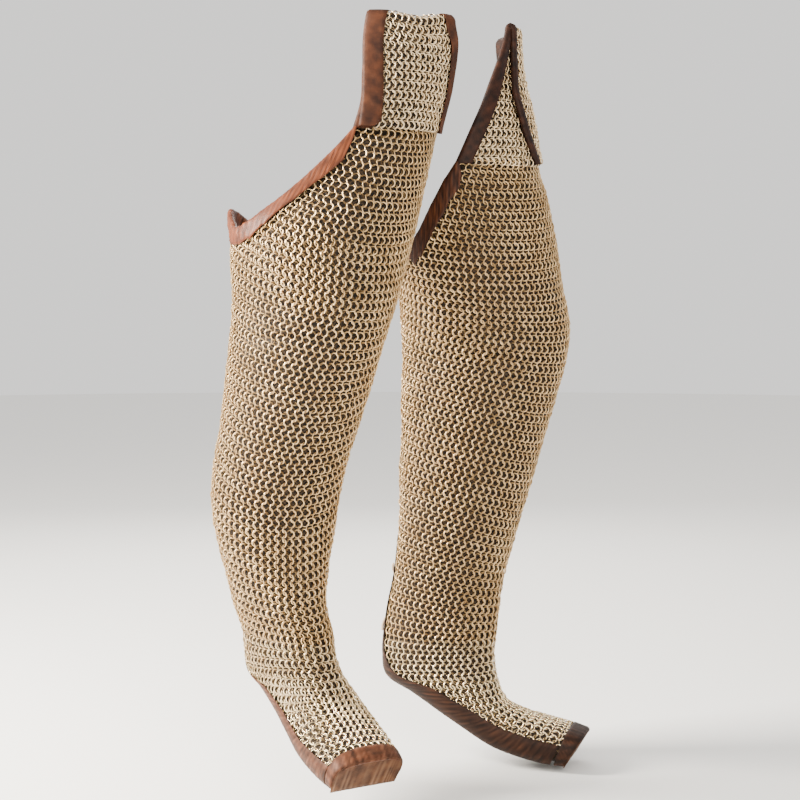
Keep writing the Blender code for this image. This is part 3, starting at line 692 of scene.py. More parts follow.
@dataclass
class RingWeave:
    """Rings in which each passes through four others.

    A row's rings lie side by side at pitch; the next row is half a pitch over and leans the other
    way, so each ring runs through two rings of the row above and two of the row below.
    """

    ring_radius: float = 0.0059
    wire_width: float = 0.00115
    wire_height: float = 0.0008
    pitch: float = 0.0106
    row_pitch: float = 0.0078
    lean: float = math.radians(30.0)
    flat_lean: float = math.radians(15.0)
    segments: int = 10
    sides: int = 3
    unevenness: float = 0.07
    samples: int = 481
    eased_rings: int = 6

    def lattice(self, sheet: Surface, rows: Array, low: Array, high: Array, centre: Array,
                closed: Array, odd: Array) -> tuple[Array, Array, Array, Array]:
        """Places of rings along rows, measured as arc length from a centre line.

        Ring k of a row stands at arc (k + half on odd rows) * pitch. On a closed row the last few
        rings share out what is left, so that the row meets itself.

        Args:
            sheet: the mail's middle surface as a function of u and v.
            rows: v of each row.
            low: lowest u of each row.
            high: highest u of each row.
            centre: u of the line from which the arc counts.
            closed: whether each row meets itself at low and high.
            odd: 1 on the rows that stand half a pitch over.

        Returns:
            u and v of every ring, its row number, and its distance from the row's nearer end.
        """
        share = np.linspace(-1, 1, self.samples)
        reach = np.where(share < 0, (centre - low)[:, None], (high - centre)[:, None])
        u = centre[:, None] + reach * share
        points = sheet(u, rows[:, None] + 0 * u)
        step = np.linalg.norm(np.diff(points, axis=1), axis=-1)
        arc = np.concatenate([np.zeros((len(rows), 1)), np.cumsum(step, axis=1)], axis=1)
        arc -= arc[:, self.samples // 2][:, None]
        most = int(np.ceil(np.abs(arc).max() / self.pitch)) + 1
        index = np.arange(-most, most + 1)[None] + 0.5 * odd[:, None]
        place = index * self.pitch
        half = np.where(place < 0, -arc[:, :1], arc[:, -1:])
        round_half = np.round(2 * half / self.pitch) * self.pitch / 2
        start = round_half - self.eased_rings * self.pitch
        size = np.abs(place)
        spread = start + (size - start) * (half - start) / np.maximum(round_half - start, 1e-6)
        eased = np.where(closed[:, None] & (size > start), spread, size) * np.sign(place)
        kept = np.where(closed[:, None], (size < round_half - 1e-6) | (np.abs(place - round_half) < 1e-6),
                        size < half)
        number = np.arange(len(rows))[:, None]
        apart = number * 10.0
        found = np.interp((eased + apart).ravel(), (arc + apart).ravel(), u.ravel()).reshape(eased.shape)
        row_number = np.broadcast_to(number, found.shape)[kept]
        to_end = (half - np.abs(eased))[kept] + np.where(closed[row_number], 1.0, 0.0)
        return found[kept], rows[row_number], row_number, to_end

    def build(self, name: str, sheet: Surface, step: tuple[float, float], outward: Surface,
              u: Array, v: Array, lean_sign: Array, flatness: Array, material: bpy.types.Material,
              seed: int) -> bpy.types.Object:
        """All rings of one stretch of mail as one mesh of joined tori.

        A ring's point is centre + (R + w cos b)(cos a e1 + sin a e2) + h sin b e3, where e1 is the
        row's direction turned by the lean towards the sheet's outer side, and w and h are half the
        width and half the height of the flattened wire.

        Args:
            name: the object's name.
            sheet: the mail's middle surface.
            step: small steps in u and v.
            outward: unit direction away from the wearer as a function of u and v.
            u: first coordinate of each ring's centre.
            v: second coordinate of each ring's centre.
            lean_sign: 1 or -1, which way the ring leans.
            flatness: 1 where the ring is pressed flat under leather, else 0.
            material: the steel.
            seed: start of the small random unevenness.

        Returns:
            The mesh object with ring_tone and ring_depth attributes.
        """
        chance = np.random.default_rng(seed)
        count = len(u)
        along, up, _ = surface_frame(sheet, u, v, step)
        away = outward(u, v)
        lean = self.lean + (self.flat_lean - self.lean) * flatness
        lean = lean * lean_sign * (1 + chance.normal(0, 2 * self.unevenness, count))
        nod = chance.normal(0, self.unevenness, count)
        first = along * np.cos(lean)[:, None] + away * np.sin(lean)[:, None]
        second = unit(up * np.cos(nod)[:, None] + away * np.sin(nod)[:, None])
        third = np.cross(first, second)
        centre = sheet(u, v) + along * chance.normal(0, 0.0003, count)[:, None]
        turn = np.arange(self.segments) * 2 * math.pi / self.segments
        tube = np.arange(self.sides) * 2 * math.pi / self.sides
        ring = first[:, None] * np.cos(turn)[None, :, None] + second[:, None] * np.sin(turn)[None, :, None]
        reach = (self.ring_radius + self.wire_width * np.cos(tube))[None, None, :, None]
        points = (centre[:, None, None] + reach * ring[:, :, None]
                  + (self.wire_height * np.sin(tube))[None, None, :, None] * third[:, None, None])
        size = self.segments * self.sides
        quads = outward_quads(points[0] - centre[0], grid_quads(self.segments, self.sides, True, True))
        quads = (quads[None] + np.arange(count)[:, None, None] * size).reshape(-1, 4)
        made = new_object(name, points, quads, material)
        tone = np.clip(chance.normal(0.15, 0.16, count), -0.3, 0.7)
        add_attribute(made, "ring_tone", np.repeat(tone, size))
        height = np.einsum("nsti,ni->nst", points - centre[:, None, None], away)
        add_attribute(made, "ring_depth", np.clip(0.60 + height / 0.0042, 0.0, 1.0))
        return made


@dataclass
class ThinWall:
    """A thin closed wall on a grid of points, such as the near-black shell of painted shade behind the rings.
    """

    thickness: float = 0.0006

    def build(self, name: str, middle: Array, away: Array, uv: Array, material: bpy.types.Material,
              wrap: bool) -> bpy.types.Object:
        """A closed thin wall on a grid of points.

        Args:
            name: the object's name.
            middle: grid of points of its middle, rows by columns.
            away: unit direction in which it has its thickness.
            uv: lattice coordinates at each point.
            material: the shell's material.
            wrap: whether the last column meets the first.

        Returns:
            The mesh object with a UV map in lattice cells.
        """
        rows, columns = middle.shape[:2]
        outer, inner = middle + away * self.thickness / 2, middle - away * self.thickness / 2
        points = np.concatenate([outer, inner[::-1]])
        quads = grid_quads(2 * rows, columns, True, wrap)
        if not wrap:
            near = np.arange(rows - 1)
            far = 2 * rows - 1 - near
            first = np.stack([near, far, far - 1, near + 1], -1) * columns
            last = np.stack([near + 1, far - 1, far, near], -1) * columns + columns - 1
            quads = np.concatenate([quads, first, last])
        made = new_object(name, points, outward_quads(points, quads), material)
        add_uv(made, np.concatenate([uv, uv[::-1]]))
        return made


def flat_cut(middle: Array, wrap: bool) -> tuple[tuple[float, float], float]:
    """Size of the flat piece that a grid of cloth would be cut from.

    Args:
        middle: grid of points of the cloth's middle, rows by columns.
        wrap: whether the last column meets the first.

    Returns:
        Width across the columns and length along the rows, both at their longest, and the area.
    """
    grid = np.concatenate([middle, middle[:, :1]], axis=1) if wrap else middle
    width = np.linalg.norm(np.diff(grid, axis=1), axis=-1).sum(1).max()
    length = np.linalg.norm(np.diff(grid, axis=0), axis=-1).sum(0).max()
    diagonals = np.cross(grid[1:, 1:] - grid[:-1, :-1], grid[1:, :-1] - grid[:-1, 1:])
    area = np.linalg.norm(diagonals, axis=-1).sum() / 2
    return (round(float(width), 3), round(float(length), 3)), round(float(area), 4)


def round_thong(name: str, path: Array, radius: float, material: bpy.types.Material) -> bpy.types.Object:
    """A round thong with domed ends: at each point of the path a circle square to the path.

    Args:
        name: the object's name.
        path: points of its centreline.
        radius: half its diameter.
        material: its leather.

    Returns:
        The mesh object.
    """
    run = unit(np.gradient(path, axis=0))
    aside = unit(np.cross(run, np.array([0.13, 0.07, 1.0])))
    other = np.cross(run, aside)
    turn = np.arange(8) * math.pi / 4
    share = np.linspace(-1, 1, len(path))
    size = radius * np.sqrt(np.clip(1 - np.clip((np.abs(share) - 0.9) / 0.1, 0, 1) ** 2, 0.04, 1))
    circle = np.cos(turn)[None, :, None] * aside[:, None] + np.sin(turn)[None, :, None] * other[:, None]
    points = path[:, None] + size[:, None, None] * circle
    cap = np.array([[0, 1, 2, 7], [2, 3, 6, 7], [3, 4, 5, 6]])
    side = grid_quads(len(path), 8, False, True)[:, ::-1]
    quads = np.concatenate([side, cap, cap[:, ::-1] + (len(path) - 1) * 8])
    return new_object(name, points, outward_quads(points, quads), material)


@dataclass
class LeatherFold:
    """A leather band folded over an edge of the mail and lying on both its faces."""

    clearance: float = 0.0018
    thickness: float = LEATHER_THICKNESS
    wrinkle: float = 0.0004
    wrinkle_length: float = 0.007
    # Strength of the lighter colour on raised wrinkles: partly wear, partly painted highlight.
    wear_and_highlight: float = 0.45
    seed: int = 1

    def profile(self, outside: Array, inside: Array) -> tuple[Array, Array, Array]:
        """The band's closed cross-section, as depth from the edge and offset off the sheet.

        It runs over the outer face, half round the edge, and back along the inner face, then
        returns one leather thickness nearer to the mail.

        Args:
            outside: width on the outer face at each station of the edge.
            inside: width on the inner face at each station.

        Returns:
            Depth and offset, stations by points, and 1 on the leather's outer side.
        """
        near = MAIL_THICKNESS / 2 + self.clearance
        far = near + self.thickness
        run = np.linspace(1, 0, 6)[None, :-1]
        turn = np.linspace(math.pi / 2, -math.pi / 2, 5)[None]
        lip = self.thickness * 0.3

        outside, inside = outside[:, None], inside[:, None]

        def path(radius: float) -> tuple[Array, Array]:
            """Depth and offset of one side of the leather at a given radius."""
            depth = np.concatenate([(outside - lip) * run, -radius * np.cos(turn) + 0 * outside,
                                    (inside - lip) * run[:, ::-1]], axis=1)
            offset = np.concatenate([radius + 0 * run, radius * np.sin(turn), -radius + 0 * run], axis=1)
            return depth, offset + 0 * depth

        far_depth, far_offset = path(far)
        near_depth, near_offset = path(near)
        middle = (near + far) / 2
        depth = np.concatenate([far_depth, inside, near_depth[:, ::-1], outside], axis=1)
        offset = np.concatenate([far_offset, -middle + 0 * inside, near_offset[:, ::-1],
                                 middle + 0 * outside], axis=1)
        outer = np.concatenate([1 + 0 * far_depth, 0.5 + 0 * inside, 0 * near_depth,
                                0.5 + 0 * outside], axis=1)
        return depth, offset, outer

    def build(self, name: str, sheet: Surface, normal: Surface, edge_u: Array, edge_v: Array,
              toward: tuple[float, float], outside: Array | float, inside: Array | float,
              material: bpy.types.Material) -> bpy.types.Object:
        """The folded band along an edge.

        A point is sheet(edge + depth * toward) + normal * offset, with toward scaled so that depth
        is in metres. Cross wrinkles are added to the offset as a sum of sines along the edge.

        Args:
            name: the object's name.
            sheet: the mail's middle surface.
            normal: its unit normal, away from the wearer.
            edge_u: u along the edge.
            edge_v: v along the edge.
            toward: one step inward in u and v.
            outside: width on the outer face along the edge, in metres.
            inside: width on the inner face along the edge, in metres.
            material: the leather.

        Returns:
            The mesh object with a fold_height attribute.
        """
        points = sheet(edge_u, edge_v)
        run = unit(np.gradient(points, axis=0))
        small = 0.2
        inward = (sheet(edge_u + small * toward[0], edge_v + small * toward[1]) - points) / small
        rate = np.linalg.norm(np.cross(run, inward), axis=-1)
        depth, offset, outer = self.profile(outside + 0 * rate, inside + 0 * rate)
        steps = depth / rate[:, None]
        u = edge_u[:, None] + steps * toward[0]
        v = edge_v[:, None] + steps * toward[1]
        height = self.wrinkles(way_along(points), depth)
        lifted = offset + np.sign(offset) * height * self.wrinkle
        surface = sheet(u, v) + normal(u, v) * lifted[..., None]
        count, ring = depth.shape
        quads = np.concatenate([grid_quads(count, ring, False, True), self.caps(count, ring)])
        made = new_object(name, surface, outward_quads(surface, quads), material)
        # Raised wrinkles on the outer face get the lighter colour: partly wear, partly painted highlight.
        add_attribute(made, "fold_height", np.clip(self.wear_and_highlight * height * outer, 0, 1))
        return made

    def wrinkles(self, along: Array, depth: Array) -> Array:
        """Height of the cross wrinkles from 0 to 1: sines of four lengths with drifting phases.

        A slower sine along and across the band fades the wrinkles in and out.

        Args:
            along: way along the edge.
            depth: depth from the edge of each point.

        Returns:
            Heights, stations by points.
        """
        chance = np.random.default_rng(self.seed)
        total = np.zeros_like(depth)
        for scale, weight in ((1.0, 1.0), (0.62, 0.7), (1.7, 0.8), (0.37, 0.35)):
            length = self.wrinkle_length * scale
            phase, slant = chance.uniform(0, 2 * math.pi), chance.normal(0, 0.7)
            drift = 2.6 * np.sin(along / (4.3 * length) + chance.uniform(0, 6.0))
            turn = 2 * math.pi * (along[:, None] + slant * depth) / length
            total += weight * np.sin(turn + phase + drift[:, None])
        slow = 2 * math.pi * (along[:, None] + 1.5 * depth) / (7.3 * self.wrinkle_length) + 1.3
        fade = 0.62 + 0.38 * np.sin(slow) * np.sin(0.43 * slow + 260 * depth)
        return fade * np.clip(0.5 + total / 4.2, 0, 1) ** 1.5

    @staticmethod
    def caps(count: int, ring: int) -> Array:
        """Faces that close the band's two ends, as strips across its thickness.

        Args:
            count: stations along the edge.
            ring: points round the cross-section.

        Returns:
            Vertex numbers, four a face.
        """
        half = (ring - 2) // 2
        near = np.arange(half - 1)
        back = ring - 2 - near
        strip = np.stack([near, near + 1, back - 1, back], -1)
        tip_in = np.array([[half - 1, half, half, half + 1]])
        tip_out = np.array([[ring - 2, ring - 1, ring - 1, 0]])
        strip = np.concatenate([strip, tip_in, tip_out])
        last = strip[:, ::-1] + (count - 1) * ring
        return np.concatenate([strip, last])


@dataclass
class Leg:
    """One leg covering: mail from the toe to the hip tab, its leather edges and its laces."""

    form: LegForm
    weave: RingWeave = field(default_factory=RingWeave)
    tab_weave: RingWeave = field(
        default_factory=lambda: RingWeave(pitch=0.0093, row_pitch=0.0069, unevenness=0.13))
    shell: ThinWall = field(default_factory=ThinWall)
    inner_widths: tuple[float, float] = (0.021, 0.018)
    outer_widths: tuple[float, float] = (0.021, 0.025)
    rim_width: float = 0.021
    toe_width: float = 0.020
    rings_under_leather: float = 0.008
    cuts: dict[str, tuple] = field(default_factory=dict)

    def put(self, piece: bpy.types.Object, slot: Slot, *nodes: str) -> bpy.types.Object:
        """Rides a piece on the body and hides the CAD nodes it stands for."""
        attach(piece, "root")
        if nodes:
            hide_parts(*nodes)
        LOG.info("%s: %d faces", piece.name, len(piece.data.polygons))
        return piece

    @staticmethod
    def tab_width(share: Array, widths: tuple[float, float]) -> Array:
        """Width of a tab band along the tab, from its value at the base to that past the fold."""
        return np.interp(share, [0.0, 0.5, 0.95, 2.0], [widths[0], widths[0], widths[1], widths[1]])

    @staticmethod
    def sole_width(station: Array) -> Array:
        """Width of the sole and slit bands on the outer face, widest under the foot."""
        return np.interp(station, [-0.06, 0.03, 0.09], [0.030, 0.018, 0.011])

    def node(self, name: str) -> str:
        """Full name of one of this leg's nodes."""
        return f"{name}_{self.form.name}"

    def rows(self) -> Array:
        """Stations of the rows of rings, evenly spaced along the leg's mean length.

        Returns:
            The stations from the toe to a little above the hip tab's base.
        """
        stations = np.linspace(TOE_STATION, TAB_BASE, 800)
        angles = np.array([0.0, 55.0, 110.0, -55.0, -110.0])[:, None]
        points = self.form.point(angles + 0 * stations, stations + 0 * angles)
        length = np.linalg.norm(np.diff(points, axis=1), axis=-1).mean(0)
        length = np.concatenate([[0], np.cumsum(length)])
        at = np.arange(0.5 * self.weave.row_pitch, length[-1], self.weave.row_pitch)
        rows = np.interp(at, length, stations)
        above = rows[-1] + np.arange(1, 8) * (rows[-1] - rows[-2])
        return np.concatenate([rows, above])

    def build_trunk_rings(self, steel: dict[Slot, bpy.types.Material]) -> list[bpy.types.Object]:
        """Rings of the foot, the shin and the thigh on one lattice.

        Args:
            steel: steel materials by slot.

        Returns:
            The three ring meshes, foot first.
        """
        form, weave = self.form, self.weave
        levels = self.rows()
        at_back = form.row_station(180.0, levels)
        reach = form.reach(at_back)
        odd = (np.arange(len(levels)) % 2).astype(float)
        angle, level, row, to_end = weave.lattice(
            form.row_point, levels, -reach, reach, 0 * reach, at_back > SLIT_TOP, odd)
        station = form.row_station(angle, level)
        below_rim = form.rim(angle) - station
        tab_side = (angle > TAB_INNER_ANGLE) & (angle < TAB_OUTER_ANGLE)
        edge = np.where(tab_side, np.maximum(below_rim, 0.02), below_rim)
        hidden = np.where(station < SLIT_TOP, self.sole_width(station) - self.rings_under_leather, 0.0)
        kept = (below_rim > 0) & (edge > 0.013) & (to_end > hidden) & (station > TOE_STATION + 0.013)
        angle, level, station, row, to_end, edge = (
            a[kept] for a in (angle, level, station, row, to_end, edge))
        pressed = np.maximum(np.clip(1.4 - edge / 0.022, 0, 1), np.clip(1.3 - to_end / 0.018, 0, 1))
        sign = np.where(row % 2 == 0, 1.0, -1.0)
        made = []
        bands = (("foot_rings", station < ANKLE_SEAM, Slot.FOOT_MAIL),
                 ("shin_rings", (station >= ANKLE_SEAM) & (station < KNEE_SEAM), Slot.MAIL),
                 ("thigh_rings", station >= KNEE_SEAM, Slot.MAIL))
        for number, (name, chosen, slot) in enumerate(bands):
            rings = weave.build(self.node(name), form.row_point, TRUNK_STEP, form.row_normal, angle[chosen],
                                level[chosen], sign[chosen], pressed[chosen], steel[slot], 11 + number)
            made.append(self.put(rings, slot))
        return made

    def build_tab_rings(self, steel: bpy.types.Material) -> bpy.types.Object:
        """Rings of the hip tab, up to the fold and down the flap.

        Args:
            steel: the tab's steel.

        Returns:
            The ring mesh.
        """
        form, weave = self.form, self.tab_weave
        way = np.arange(0.004, form.tab_length - 0.002, weave.row_pitch)
        share = 2 * way / form.tab_length
        odd = (np.arange(len(share)) % 2).astype(float)
        across, share, row, to_end = weave.lattice(
            form.tab_point, share, 0 * share, 0 * share + 1, 0 * share + 0.5, np.zeros(len(share), bool), odd)
        band = np.where(across < 0.5, self.tab_width(share, self.inner_widths),
                        self.tab_width(share, self.outer_widths))
        kept = to_end > np.maximum(band - self.rings_under_leather, 0.004)
        across, share, row, to_end = across[kept], share[kept], row[kept], to_end[kept]
        sign = np.where(row % 2 == 0, 1.0, -1.0)
        pressed = np.clip(1.4 - to_end / 0.028, 0, 1)
        rings = weave.build(self.node("tab_rings"), form.tab_point, TAB_STEP, self.tab_outward, across,
                            share, sign, pressed, steel, 17)
        return self.put(rings, Slot.TAB_MAIL)

    def tab_outward(self, across: Array, share: Array) -> Array:
        """Unit direction off the tab, on the side that shows: it turns over with the fold."""
        over = np.where(self.form.tab_turn(share) > math.pi / 2, -1.0, 1.0)
        return self.form.tab_normal(across, share) * over[..., None]

    def trunk_shade_shell(self, name: str, stations: Array, material: bpy.types.Material,
                    slot: Slot) -> bpy.types.Object:
        """The near-black shell of painted shade behind one stretch of the leg's rings.

        Args:
            name: stem of the object's name, and of its CAD node.
            stations: stations of its rows; those of the thigh spread up to its rim.
            material: the shell's material.
            slot: the record's slot.

        Returns:
            The shell.
        """
        form = self.form
        share = np.linspace(-1, 1, 61)
        stations = np.repeat(stations[:, None], len(share), 1)
        closed = bool(stations.min() > SLIT_TOP)
        angle = form.reach(stations) * share
        if closed:
            angle, stations = angle[:, :-1], stations[:, :-1]
            low = stations[0, 0]
            part = (stations - low) / (stations[-1, 0] - low)
            stations = low + (form.rim(angle) - low) * part
        away = form.normal(angle, stations)
        middle = form.point(angle, stations) - away * SHELL_OFFSET
        uv = np.stack([angle / 360 * RINGS_ROUND, stations / self.weave.row_pitch], -1)
        made = self.shell.build(self.node(name + "_shade_shell"), middle, away, uv, material, closed)
        self.cuts[name] = flat_cut(middle, closed)
        return self.put(made, slot, self.node(name))

    def build_shells(self, material: bpy.types.Material) -> dict[str, bpy.types.Object]:
        """The near-black shells of painted shade behind the foot, shin, thigh and tab.

        Args:
            material: the shells' material.

        Returns:
            The shells by the stem of their CAD node.
        """
        form = self.form
        slit = np.linspace(ANKLE_SEAM, SLIT_TOP, 11)
        calf = np.linspace(SLIT_TOP + 0.0002, KNEE_SEAM, 19)
        stretches = (("foot_mail", np.linspace(TOE_STATION + 0.002, ANKLE_SEAM, 32), Slot.FOOT_MAIL),
                     ("shin_mail", np.concatenate([slit, calf]), Slot.MAIL),
                     ("thigh_mail", np.linspace(KNEE_SEAM, TAB_BASE, 21), Slot.MAIL))
        made = {name: self.trunk_shade_shell(name, stations, material, slot) for name, stations, slot in stretches}
        share = np.linspace(0, 1.985, 81)[:, None]
        across = np.linspace(0.02, 0.98, 17)[None]
        share, across = np.broadcast_arrays(share, across)
        away = form.tab_normal(across, share)
        lean = np.cos(form.tab_turn(share))[..., None]
        middle = form.tab_point(across, share) - away * lean * SHELL_OFFSET * 0.9
        uv = np.stack([across * TAB_RINGS_ACROSS, share / 2 * form.tab_length / self.weave.row_pitch], -1)
        tab = self.shell.build(self.node("hip_tab_shade_shell"), middle, away, uv, material, False)
        self.cuts["hip_tab_mail"] = flat_cut(middle, False)
        made["hip_tab_mail"] = self.put(tab, Slot.TAB_MAIL, self.node("hip_tab_mail"))
        return made

    def build_bindings(self, leathers: dict[Slot, bpy.types.Material]) -> list[bpy.types.Object]:
        """Leather over the rim, the tab's sides, the slit and sole edges and the toe.

        Args:
            leathers: leather materials by slot.

        Returns:
            The bands: rim, tab inner, tab outer, sole outer, sole inner, toe.
        """
        form, made = self.form, []

        def bind(name: str, node: str, slot: Slot, fold: LeatherFold, surfaces: tuple[Surface, Surface],
                 edge: tuple[Array, Array], toward: tuple[float, float], outside: Array | float,
                 inside: Array | float) -> None:
            """Folds one band over an edge and puts it in place of its CAD node."""
            piece = fold.build(self.node(name), *surfaces, *edge, toward, outside, inside, leathers[slot])
            made.append(self.put(piece, slot, self.node(node)))

        trunk, tab = (form.point, form.normal), (form.tab_point, form.tab_normal)
        angle = np.linspace(TAB_OUTER_ANGLE + 0.2, 360 + TAB_INNER_ANGLE + 0.4, 300)
        height = form.rim((angle + 180) % 360 - 180)
        bind("rim_leather", "rim_binding", Slot.RIM_LEATHER,
             LeatherFold(wrinkle=0.0016, wrinkle_length=0.0095, wear_and_highlight=1.0, seed=3),
             trunk, (angle, height), (0.0, -1.0), self.rim_width, self.rim_width)
        share = np.linspace(0.0, 2.0, 121)
        rounded = np.sqrt(np.clip(1 - (np.clip(share - 1.94, 0, None) / 0.075) ** 2, 0.05, 1))
        for name, edge, toward, widths in (("inner", 0.0, 1.0, self.inner_widths),
                                           ("outer", 1.0, -1.0, self.outer_widths)):
            width = self.tab_width(share, widths) * rounded
            bind(f"tab_{name}_leather", f"hip_tab_{name}_binding", Slot.TAB_LEATHER,
                 LeatherFold(wrinkle=0.0003, wrinkle_length=0.021, wear_and_highlight=0.3, seed=5),
                 tab, (edge + 0 * share, share), (toward, 0.0), width, width)
        station = np.linspace(TOE_STATION + 0.026, SLIT_TOP - 0.001, 150)
        width, reach = self.sole_width(station), form.reach(station)
        for name, sign in (("outer", 1.0), ("inner", -1.0)):
            bind(f"sole_{name}_leather", f"sole_{name}_binding", Slot.EDGE_LEATHER,
                 LeatherFold(wrinkle=0.0006, wrinkle_length=0.012, wear_and_highlight=0.6, seed=7),
                 trunk, (sign * reach, station), (-sign * 10.0, 0.0), width, 0.4 * width)
        reach_toe = float(form.reach(np.array(TOE_STATION)))
        angle = np.linspace(-reach_toe, reach_toe, 90)
        bind("toe_leather", "toe_binding", Slot.EDGE_LEATHER,
             LeatherFold(wrinkle=0.0006, wrinkle_length=0.011, wear_and_highlight=0.6, seed=9),
             trunk, (angle, TOE_STATION + 0 * angle), (0.0, 1.0), self.toe_width, self.toe_width)
        return made

    def build_toe_strip(self, material: bpy.types.Material) -> bpy.types.Object:
        """The ribbed leather strip that closes the front of the toe.

        The rows run from the arch of the mail's front edge straight down to a line under the sole,
        and ribs stand on them as a sine of the way along the arch, higher towards the lower edge.

        Args:
            material: the toe's leather.

        Returns:
            The strip.
        """
        form = self.form
        reach = float(form.reach(np.array(TOE_STATION)))
        angle = np.linspace(-reach, reach, 121)
        arch = form.point(angle, TOE_STATION + 0 * angle)
        ahead = unit(arch.mean(0) - form.point(angle, TOE_STATION + 0.02 + 0 * angle).mean(0))
        down = unit((arch[0] + arch[-1]) / 2 - arch[len(arch) // 2])
        base = unit(arch[-1] - arch[0])
        low = arch[0] + ((arch - arch[0]) @ base)[:, None] * base
        high = arch + unit(arch - low.mean(0)) * 0.0021
        low = low + down * TOE_STRIP_DROP
        share = np.linspace(0, 1, 9)[:, None, None]
        grid = high * (1 - share) + low * share
        way = way_along(arch)
        bend = 2.6 * np.sin(way / 0.0087) + 1.7 * np.sin(way / 0.0041)
        rib = 0.5 + 0.5 * np.sin(2 * math.pi * way / 0.0088 + bend)
        down_share = share[..., 0]
        uneven = 0.55 + 0.25 * np.sin(way / 0.011 + 1.0) + 0.2 * np.sin(way / 0.0052 + 5.0 * down_share)
        height = rib * (0.2 + 0.8 * down_share) * uneven
        grid = grid + ahead * (0.0037 + 0.0007 * height)[..., None]
        wall = ThinWall(thickness=LEATHER_THICKNESS)
        uv = np.stack([way + 0 * height, height], -1)
        made = wall.build(self.node("toe_strip_leather"), grid, ahead, uv, material, False)
        # Rib tops get the leather's lighter colour: partly wear, partly painted highlight.
        add_attribute(made, "fold_height", np.concatenate([height, height[::-1]]) * 0.8)
        return self.put(made, Slot.TOE_LEATHER, self.node("toe_strip"))

    def build_laces(self, material: bpy.types.Material) -> list[bpy.types.Object]:
        """Two thongs that cross the back slit on a slant.

        Args:
            material: the thongs' leather.

        Returns:
            The thongs.
        """
        form, made = self.form, []
        share = np.linspace(-1, 1, 41)
        lift = MAIL_THICKNESS / 2 + SLIT_LEATHER_LIFT + THONG_RADIUS
        for name, height, slant, rise in (("upper", 0.155, 0.014, 0.0014),
                                          ("lower", 0.072, -0.011, 0.0012)):
            angle, station = 180 + share * THONG_SPAN, height + share * slant
            path = form.point(angle, station) + form.normal(angle, station) * (lift + rise)
            thong = round_thong(self.node(f"thong_{name}"), path, THONG_RADIUS, material)
            add_attribute(thong, "fold_height", np.full(len(thong.data.vertices), 0.3))
            made.append(self.put(thong, Slot.THONG, self.node(f"lace_{name}")))
        return made

    def build(self, steel: dict[Slot, bpy.types.Material], shell: bpy.types.Material,
              leathers: dict[Slot, bpy.types.Material]) -> None:
        """Builds and dresses the whole leg, and keeps in cuts what size each sheet of mail is cut to.

        Args:
            steel: steel materials by slot.
            shell: the shells' painted-shade material.
            leathers: leather materials by slot.
        """
        foot, shin, thigh = self.build_trunk_rings(steel)
        tab = self.build_tab_rings(steel[Slot.TAB_MAIL])
        mail = self.build_shells(shell)
        rim, *bands = self.build_bindings(leathers)
        strip = self.build_toe_strip(leathers[Slot.TOE_LEATHER])
        laces = self.build_laces(leathers[Slot.THONG])


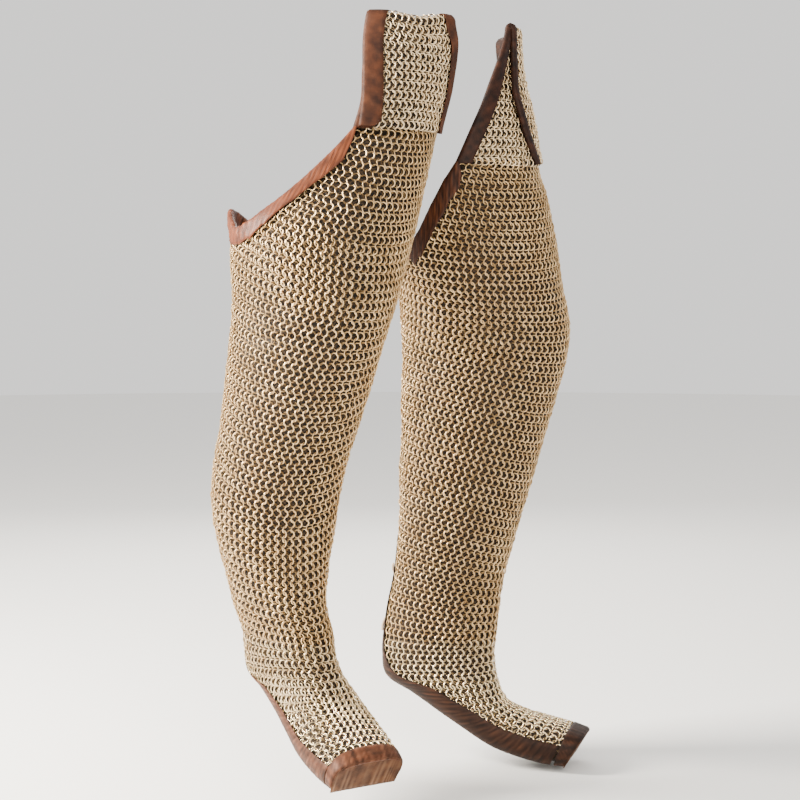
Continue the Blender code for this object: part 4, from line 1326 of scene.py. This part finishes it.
@dataclass
class Studio:
    """Pale floor, soft lights and the camera at the photograph's angle."""

    target: Array
    azimuth: float = math.radians(-55.0)
    elevation: float = math.radians(4.0)
    distance: float = 3.0
    lens: float = 89.1

    def camera(self) -> None:
        """Places the camera on its sphere about the target and makes it the scene's camera."""
        level = math.cos(self.elevation)
        away = Vector((math.sin(self.azimuth) * level, -math.cos(self.azimuth) * level,
                       math.sin(self.elevation)))
        data = bpy.data.cameras.new("camera")
        data.lens = self.lens
        data.sensor_width = 36.0
        camera = bpy.data.objects.new("camera", data)
        camera.location = Vector(self.target) + away * self.distance
        camera.rotation_euler = away.to_track_quat("Z", "Y").to_euler()
        bpy.context.scene.collection.objects.link(camera)
        bpy.context.scene.camera = camera

    def light(self, name: str, azimuth: float, height: float, distance: float, size: float, power: float,
              colour: tuple[float, float, float]) -> None:
        """One soft square light that faces the target.

        Args:
            name: the light's name.
            azimuth: degrees about the target, from the -Y side.
            height: metres above the target.
            distance: metres from the target.
            size: edge of the square.
            power: watts.
            colour: its colour.
        """
        turn = math.radians(azimuth)
        data = bpy.data.lights.new(name, "AREA")
        data.shape = "SQUARE"
        data.size = size
        data.energy = power
        data.color = colour
        light = bpy.data.objects.new(name, data)
        offset = Vector((math.sin(turn) * distance, -math.cos(turn) * distance, height))
        light.location = Vector(self.target) + offset
        light.rotation_euler = offset.to_track_quat("Z", "Y").to_euler()
        bpy.context.scene.collection.objects.link(light)

    def floor(self, height: float) -> None:
        """A pale floor disc under the feet.

        Args:
            height: its z.
        """
        turn = np.linspace(0, 2 * math.pi, 65)[:-1]
        radius = np.array([0.001, 3.0, 9.0])[:, None]
        points = np.stack([radius * np.cos(turn) + self.target[0], radius * np.sin(turn) + self.target[1],
                           height + 0 * radius * turn], -1)
        graph = Graph("pale_floor")
        graph.fill(graph.shader, {"Base Color": (0.86, 0.85, 0.83, 1.0), "Roughness": 0.9})
        quads = grid_quads(3, 64, False, True)[:, ::-1]
        new_object("floor", points, quads, graph.material)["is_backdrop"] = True

    def build(self, floor_height: float) -> None:
        """Sets up camera, floor, lights and the pale surroundings.

        Args:
            floor_height: z of the floor.
        """
        self.camera()
        self.floor(floor_height)
        self.light("key", -136.0, 1.2, 2.3, 1.2, 430.0, (1.0, 0.94, 0.84))
        self.light("front", -45.0, 1.1, 3.0, 1.4, 78.0, (1.0, 0.95, 0.86))
        self.light("back", 130.0, 1.2, 2.6, 1.6, 45.0, (1.0, 0.96, 0.90))
        world = bpy.data.worlds.new("pale_room")
        world.use_nodes = True
        pale = world.node_tree.nodes["Background"]
        pale.inputs["Color"].default_value = (1.0, 0.985, 0.96, 1.0)
        pale.inputs["Strength"].default_value = 1.2
        bpy.context.scene.world = world


def bounds_lists() -> list[list[float]]:
    """The object's box as plain lists of numbers."""
    return [[float(value) for value in corner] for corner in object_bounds()]


def main() -> None:
    """Builds both legs and the studio."""
    logging.basicConfig(level=logging.INFO, format="%(message)s")
    cad_box = bounds_lists()
    right, left = build_forms()
    steel_finishes = {
        Slot.MAIL: SteelFinish(),
        Slot.FOOT_MAIL: SteelFinish((1.0, 0.80, 0.50, 1.0), patina=(0.12, 0.07, 0.03, 1.0), rubbed=0.8),
        Slot.TAB_MAIL: SteelFinish((1.0, 0.80, 0.52, 1.0), (0.86, 0.64, 0.38, 1.0), (0.09, 0.05, 0.02, 1.0)),
    }
    steel = {slot: finish.material(f"{slot.value}_steel") for slot, finish in steel_finishes.items()}
    # The shells behind the rings are painted shade: near-black for the shadowed depth of the weave.
    shell = ShadeShellFinish().material("mail_painted_shade")
    leathers = {
        Slot.RIM_LEATHER: RIM_LEATHER.material("rim_leather"),
        Slot.TAB_LEATHER: TAB_LEATHER.material("tab_leather"),
        Slot.EDGE_LEATHER: EDGE_LEATHER.material("edge_leather"),
        Slot.TOE_LEATHER: TOE_LEATHER.material("toe_leather"),
        Slot.THONG: THONG_LEATHER.material("thong"),
    }
    Leg(right).build(steel, shell, leathers)
    # The left leg's rim, tab and edge leather are darker copies: painted shade on the far leg.
    leathers[Slot.RIM_LEATHER] = SHADED_FAR_RIM_LEATHER.material("shaded_far_rim_leather")
    leathers[Slot.TAB_LEATHER] = leathers[Slot.RIM_LEATHER]
    leathers[Slot.EDGE_LEATHER] = SHADED_FAR_EDGE_LEATHER.material("shaded_far_edge_leather")
    Leg(left, inner_widths=(0.018, 0.006)).build(steel, shell, leathers)
    Studio(-right.shift).build(cad_box[0][2] - 0.004)


if __name__ == "__main__":
    main()
